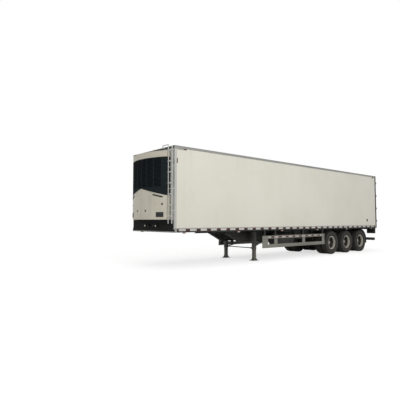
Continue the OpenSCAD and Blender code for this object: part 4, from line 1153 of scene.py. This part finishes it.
@dataclass
class FrontPanel:
    """Lids of the air couplings and electric sockets, and a wear strip on the sill."""

    face: float = 6.630
    coupling: Point = (6.700, 0.33, 1.40)
    socket: Point = (6.692, 0.165, 1.40)
    steps: int = 32
    lid: tuple[Span, ...] = ((0.0, 0.0), (0.03, 0.0), (0.033, 0.003), (0.033, 0.011), (0.026, 0.014),
                             (0.02, 0.0115), (0.0, 0.0115))
    cover: tuple[Span, ...] = ((0.0, 0.0), (0.037, 0.0), (0.039, 0.003), (0.037, 0.008), (0.012, 0.011),
                               (0.0, 0.011))

    def build(self) -> None:
        """Builds the lids and the strip."""
        lids = lathe("coupling_lids", self.lid, self.steps, Axis.X, self.coupling)
        lids.mirrored().done("unit_white", UNIT_WHITE)
        covers = lathe("socket_lids", self.cover, self.steps, Axis.X, self.socket)
        covers.mirrored().done("front_black", SEAL)
        Block("sill_strip", (self.face - ROOT, -1.28, 1.195), (self.face + 0.004, 1.28, 1.225), "rail_alloy",
              ALLOY, 0.0015).build()


@dataclass
class RearDoors:
    """Seals, bolts and marks of the two door leaves, and the trim of the rear frame."""

    face: float = -6.982
    seal_x: Span = (-6.987, -6.980)
    seal_y: Span = (0.004, 1.229)
    seal_z: Span = (1.297, 3.869)
    seal_w: float = 0.018
    seal_edge: float = 0.0015
    hinge_face: float = -6.994
    hinges_z: tuple[float, ...] = (1.562, 2.243, 2.923, 3.604)
    bolt: Head = Head(0.008, 0.005, 0.4, (0.7, 0.85), 8)
    bolts: int = 3
    bolt_y: float = 1.04
    bolt_pitch: float = 0.06
    marks: tuple[tuple[Span, Span], ...] = (((0.86, 1.16), (3.74, 3.79)), ((0.30, 0.72), (1.46, 1.51)))
    mark_thick: float = 0.0012
    tape_edge: float = 0.0004
    bumper_face: float = -6.952
    plate_gap: float = 0.012

    def leaf(self, side: Side) -> None:
        """Rubber seal round a leaf, bolt heads on its hinge arms and reflective marks at its top and foot."""
        body, sign, word = f"{side.word}_door", side.value, side.word
        (y0, y1), (z0, z1), wide = self.seal_y, self.seal_z, self.seal_w
        bars = (((y0, y1), (z0, z0 + wide)), ((y0, y1), (z1 - wide, z1)),
                ((y0, y0 + wide), (z0, z1)), ((y1 - wide, y1), (z0, z1)))
        seals = [slab(f"door_seal_{word}", *zip(self.seal_x, side.across(*y), z), self.seal_edge)
                 for y, z in bars]
        joined(seals).done("hinge_dark", SEAL, body=body)
        heads = []
        for z in self.hinges_z:
            at = (self.hinge_face, sign * self.bolt_y, z)
            head = self.bolt.place(f"hinge_bolts_{word}", Axis.X, -1, at)
            heads.append(head.row(self.bolts, (0.0, sign * self.bolt_pitch, 0.0)))
        joined(heads).done("gear_steel", GEAR, DOME, body)
        x = (self.face - self.mark_thick, self.face)
        bands = [slab(f"door_mark_{word}", *zip(x, side.across(*y), z), self.tape_edge)
                 for y, z in self.marks]
        joined(bands).done("lamp_red", REAR_TAPE, body=body)

    def frame_trim(self) -> tuple[Block, ...]:
        """Tape on the underrun bar, a blank number plate on feet, the lamps' carrier, which also paints shade
        under the rear sill, and rubber buffers.
        """
        face, bar, back = self.face, self.bumper_face, (Axis.X, -1)
        plate = bar + self.plate_gap
        return (
            Block("bumper_tape", (bar - ROOT, -1.16, 0.55), (bar, 1.16, 0.63), "lamp_red", REAR_TAPE,
                  self.tape_edge),
            Block("number_plate", (plate, -0.26, 0.672), (plate + 0.004, 0.26, 0.788), "unit_white", LINING,
                  0.0015, back, (0.006, -0.0008)),
            Block("plate_feet", (plate + 0.004, -0.2, 0.655), (plate + 0.014, -0.16, 0.775), "chassis_black",
                  CHASSIS, both_sides=True),
            # Black carrier under the rear sill, and also a band of painted shade under the box's edge.
            Block("lamp_carrier_and_shade", (face + 0.03, -1.25, 1.105), (face + 0.28, 1.25, 1.1905), "chassis_black",
                  CHASSIS, 0.004, back, (0.02, -0.004)),
            Block("sill_buffers", (face - 0.045, 0.98, 1.198), (face + ROOT, 1.16, 1.282), "hinge_dark", SEAL,
                  0.012, back, (0.016, -0.006), both_sides=True))

    def build(self) -> None:
        """Builds the trim of both leaves and of the frame."""
        for side in Side:
            self.leaf(side)
        for block in self.frame_trim():
            block.build()


@dataclass
class Chassis:
    """Stiffeners of the main beams, mud flaps and bolts of the landing legs."""

    stiffener: Block = Block(
        "beam_stiffeners", (-6.6, 0.494, 0.753), (-6.592, 0.553, 1.187), "chassis_black", CHASSIS, count=13,
        step=(0.67, 0.0, 0.0), both_sides=True)
    flap: tuple[Point, Point] = ((-5.920, 0.605, 0.42), (-5.912, 1.235, 0.605))
    rib: tuple[Point, Point] = ((-5.924, 0.645, 0.45), (-5.919, 0.661, 0.545))
    rib_edge: float = 0.0015
    ribs: int = 10
    rib_pitch: float = 0.059
    bolt: Head = Head(0.010, 0.007)
    bolt_at: Point = (2.308, 0.865, 0.80)
    bolt_rows: tuple[int, int] = (2, 5)
    bolt_step: Span = (0.08, 0.07)

    def flaps(self) -> None:
        """Ribbed rubber flaps that hang from the mudguards."""
        ribs = slab("rib", *self.rib, self.rib_edge).row(self.ribs, (0.0, self.rib_pitch, 0.0))
        slab("mud_flaps", *self.flap).join(ribs).mirrored().done("mudguard_plastic", MUDGUARD)

    def leg_bolts(self) -> None:
        """Bolt heads on the outer faces of the landing legs, with both legs' heads as one piece."""
        x, y, z = self.bolt_at
        (wide, tall), (along, up) = self.bolt_rows, self.bolt_step
        heads = []
        for side in Side:
            head = self.bolt.place("leg_bolts_left", Axis.Y, side.value, (x, side.value * y, z))
            heads.append(head.row(wide, (along, 0.0, 0.0)).row(tall, (0.0, 0.0, up)))
        joined(heads).done("leg_grey", LEG, DOME)

    def build(self) -> None:
        """Builds the chassis's trim."""
        self.stiffener.build()
        self.flaps()
        self.leg_bolts()


@dataclass
class Lining:
    """Inside of the load box: kick plates, front bulkhead, air outlet and ceiling lamps."""

    wall: float = 1.23
    floor: float = 1.40
    ceiling: float = 3.92
    front: float = 6.528
    rear: float = -6.86
    blocks: tuple[Block, ...] = (
        Block("kick_plates", (rear, wall - 0.003, floor + 0.002), (front - 0.06, wall, floor + 0.32),
              "floor_alloy", FLOOR, 0.001, (Axis.Y, -1), (0.03, -0.001), both_sides=True),
        Block("front_bulkhead", (front - 0.05, -1.2, 1.52), (front, 1.2, 3.5), "panel_white", LINING, 0.006,
              (Axis.X, -1), (0.08, 0.006)),
        Block("air_outlet", (front - 0.42, -0.85, 3.56), (front, 0.85, 3.915), "panel_white", LINING, 0.02,
              (Axis.X, -1), (0.04, 0.0), -0.09),
        Block("ceiling_lamps", (-5.2, -0.05, ceiling - 0.028), (-4.6, 0.05, ceiling), "unit_white",
              CLEAR_LENS, 0.008, count=4, step=(3.0, 0.0, 0.0)))

    def build(self) -> None:
        """Builds the lining."""
        for block in self.blocks:
            block.build()


@dataclass
class Studio:
    """Pale floor, white surround, soft light and the camera."""

    eye: Point = (13.885, 11.199, 1.573)
    yaw: float = -130.03
    pitch: float = 3.07
    lens: float = 34.67
    sensor: float = 36.0
    floor_size: float = 600.0
    floor_z: float = -0.001
    floor_grey: float = 0.80
    floor_glow: float = 0.30
    glow_power: float = 2.20
    sky: float = 0.62
    white: tuple[float, float, float, float] = (1.0, 1.0, 1.0, 1.0)
    key_power: float = 930.0
    key_size: float = 10.0
    key_at: Point = (7.0, 16.0, 10.0)
    key_aim: Point = (0.0, 1.3, 2.2)

    def camera(self) -> None:
        """Puts the camera where the photo was taken."""
        bpy.ops.object.camera_add(location=self.eye)
        camera = bpy.context.object
        camera.rotation_euler = (math.radians(90.0 + self.pitch), 0.0, math.radians(self.yaw - 90.0))
        camera.data.lens = self.lens
        camera.data.sensor_width = self.sensor
        camera.data.clip_end = 2.0 * self.floor_size
        bpy.context.scene.camera = camera

    def floor(self) -> None:
        """Lays a pale floor that keeps a soft shadow."""
        bench = Bench("studio_floor", "plane", size=self.floor_size)
        ground = bench.move((0.0, 0.0, self.floor_z)).leave().obj
        made = bpy.data.materials.new("studio_floor")
        made.use_nodes = True
        graph = Graph(made.node_tree)
        nodes = made.node_tree.nodes
        nodes.remove(nodes["Principled BSDF"])
        matt = graph.node("BsdfDiffuse", {"Color": (self.floor_grey, self.floor_grey, self.floor_grey, 1.0)})
        glow = graph.node("Emission", {"Color": self.white, "Strength": self.glow_power})
        part = graph.math("MULTIPLY", graph.node("LightPath").outputs["Is Camera Ray"], self.floor_glow)
        mixed = graph.node("MixShader", {0: part, 1: matt.outputs[0], 2: glow.outputs[0]})
        graph.feed(nodes["Material Output"], {"Surface": mixed.outputs[0]})
        ground.data.materials.append(made)

    def light(self) -> None:
        """Lights the side from above with a broad lamp, and all of it with a soft sky."""
        bpy.ops.object.light_add(type="AREA", location=self.key_at)
        key = bpy.context.object
        key.data.energy = self.key_power
        key.data.size = self.key_size
        key.rotation_euler = (Vector(self.key_at) - Vector(self.key_aim)).to_track_quat("Z", "Y").to_euler()
        world = bpy.data.worlds.new("studio")
        bpy.context.scene.world = world
        world.use_nodes = True
        graph = Graph(world.node_tree)
        strength = graph.span(graph.node("LightPath").outputs["Is Camera Ray"], 0.0, 1.0, self.sky, 1.0)
        graph.feed(world.node_tree.nodes["Background"], {"Color": self.white, "Strength": strength})

    def build(self) -> None:
        """Sets up camera, floor and light, with plain view settings."""
        self.camera()
        self.floor()
        self.light()
        bpy.context.scene.view_settings.view_transform = "Standard"


def paint_nodes() -> None:
    """Gives each CAD node its own finish or that of its material slot."""
    for part in frame["record"]["subparts"]:
        node = part["node"]
        finish = NODE_FINISH.get(node) or SLOT_FINISH[part["material_slot"]]
        mesh = frame["nodes"][node].data
        mesh.materials.clear()
        mesh.materials.append(finish.material())
        LOG.info("%s painted %s", node, finish.name)


def main() -> None:
    """Builds the trailer's looks in order."""
    logging.basicConfig(level=logging.INFO, format="%(message)s")
    paint_nodes()
    for axle in AXLES:
        for side in Side:
            TwinTyres(axle, side).build()
            WheelTrim(axle, side).build()
    for group in (LoadBox, RearDoors, CoolingUnit, FrontPanel, SideGuards, Chassis, Lamps, Lining, Studio):
        group().build()


if __name__ == "__main__":
    main()
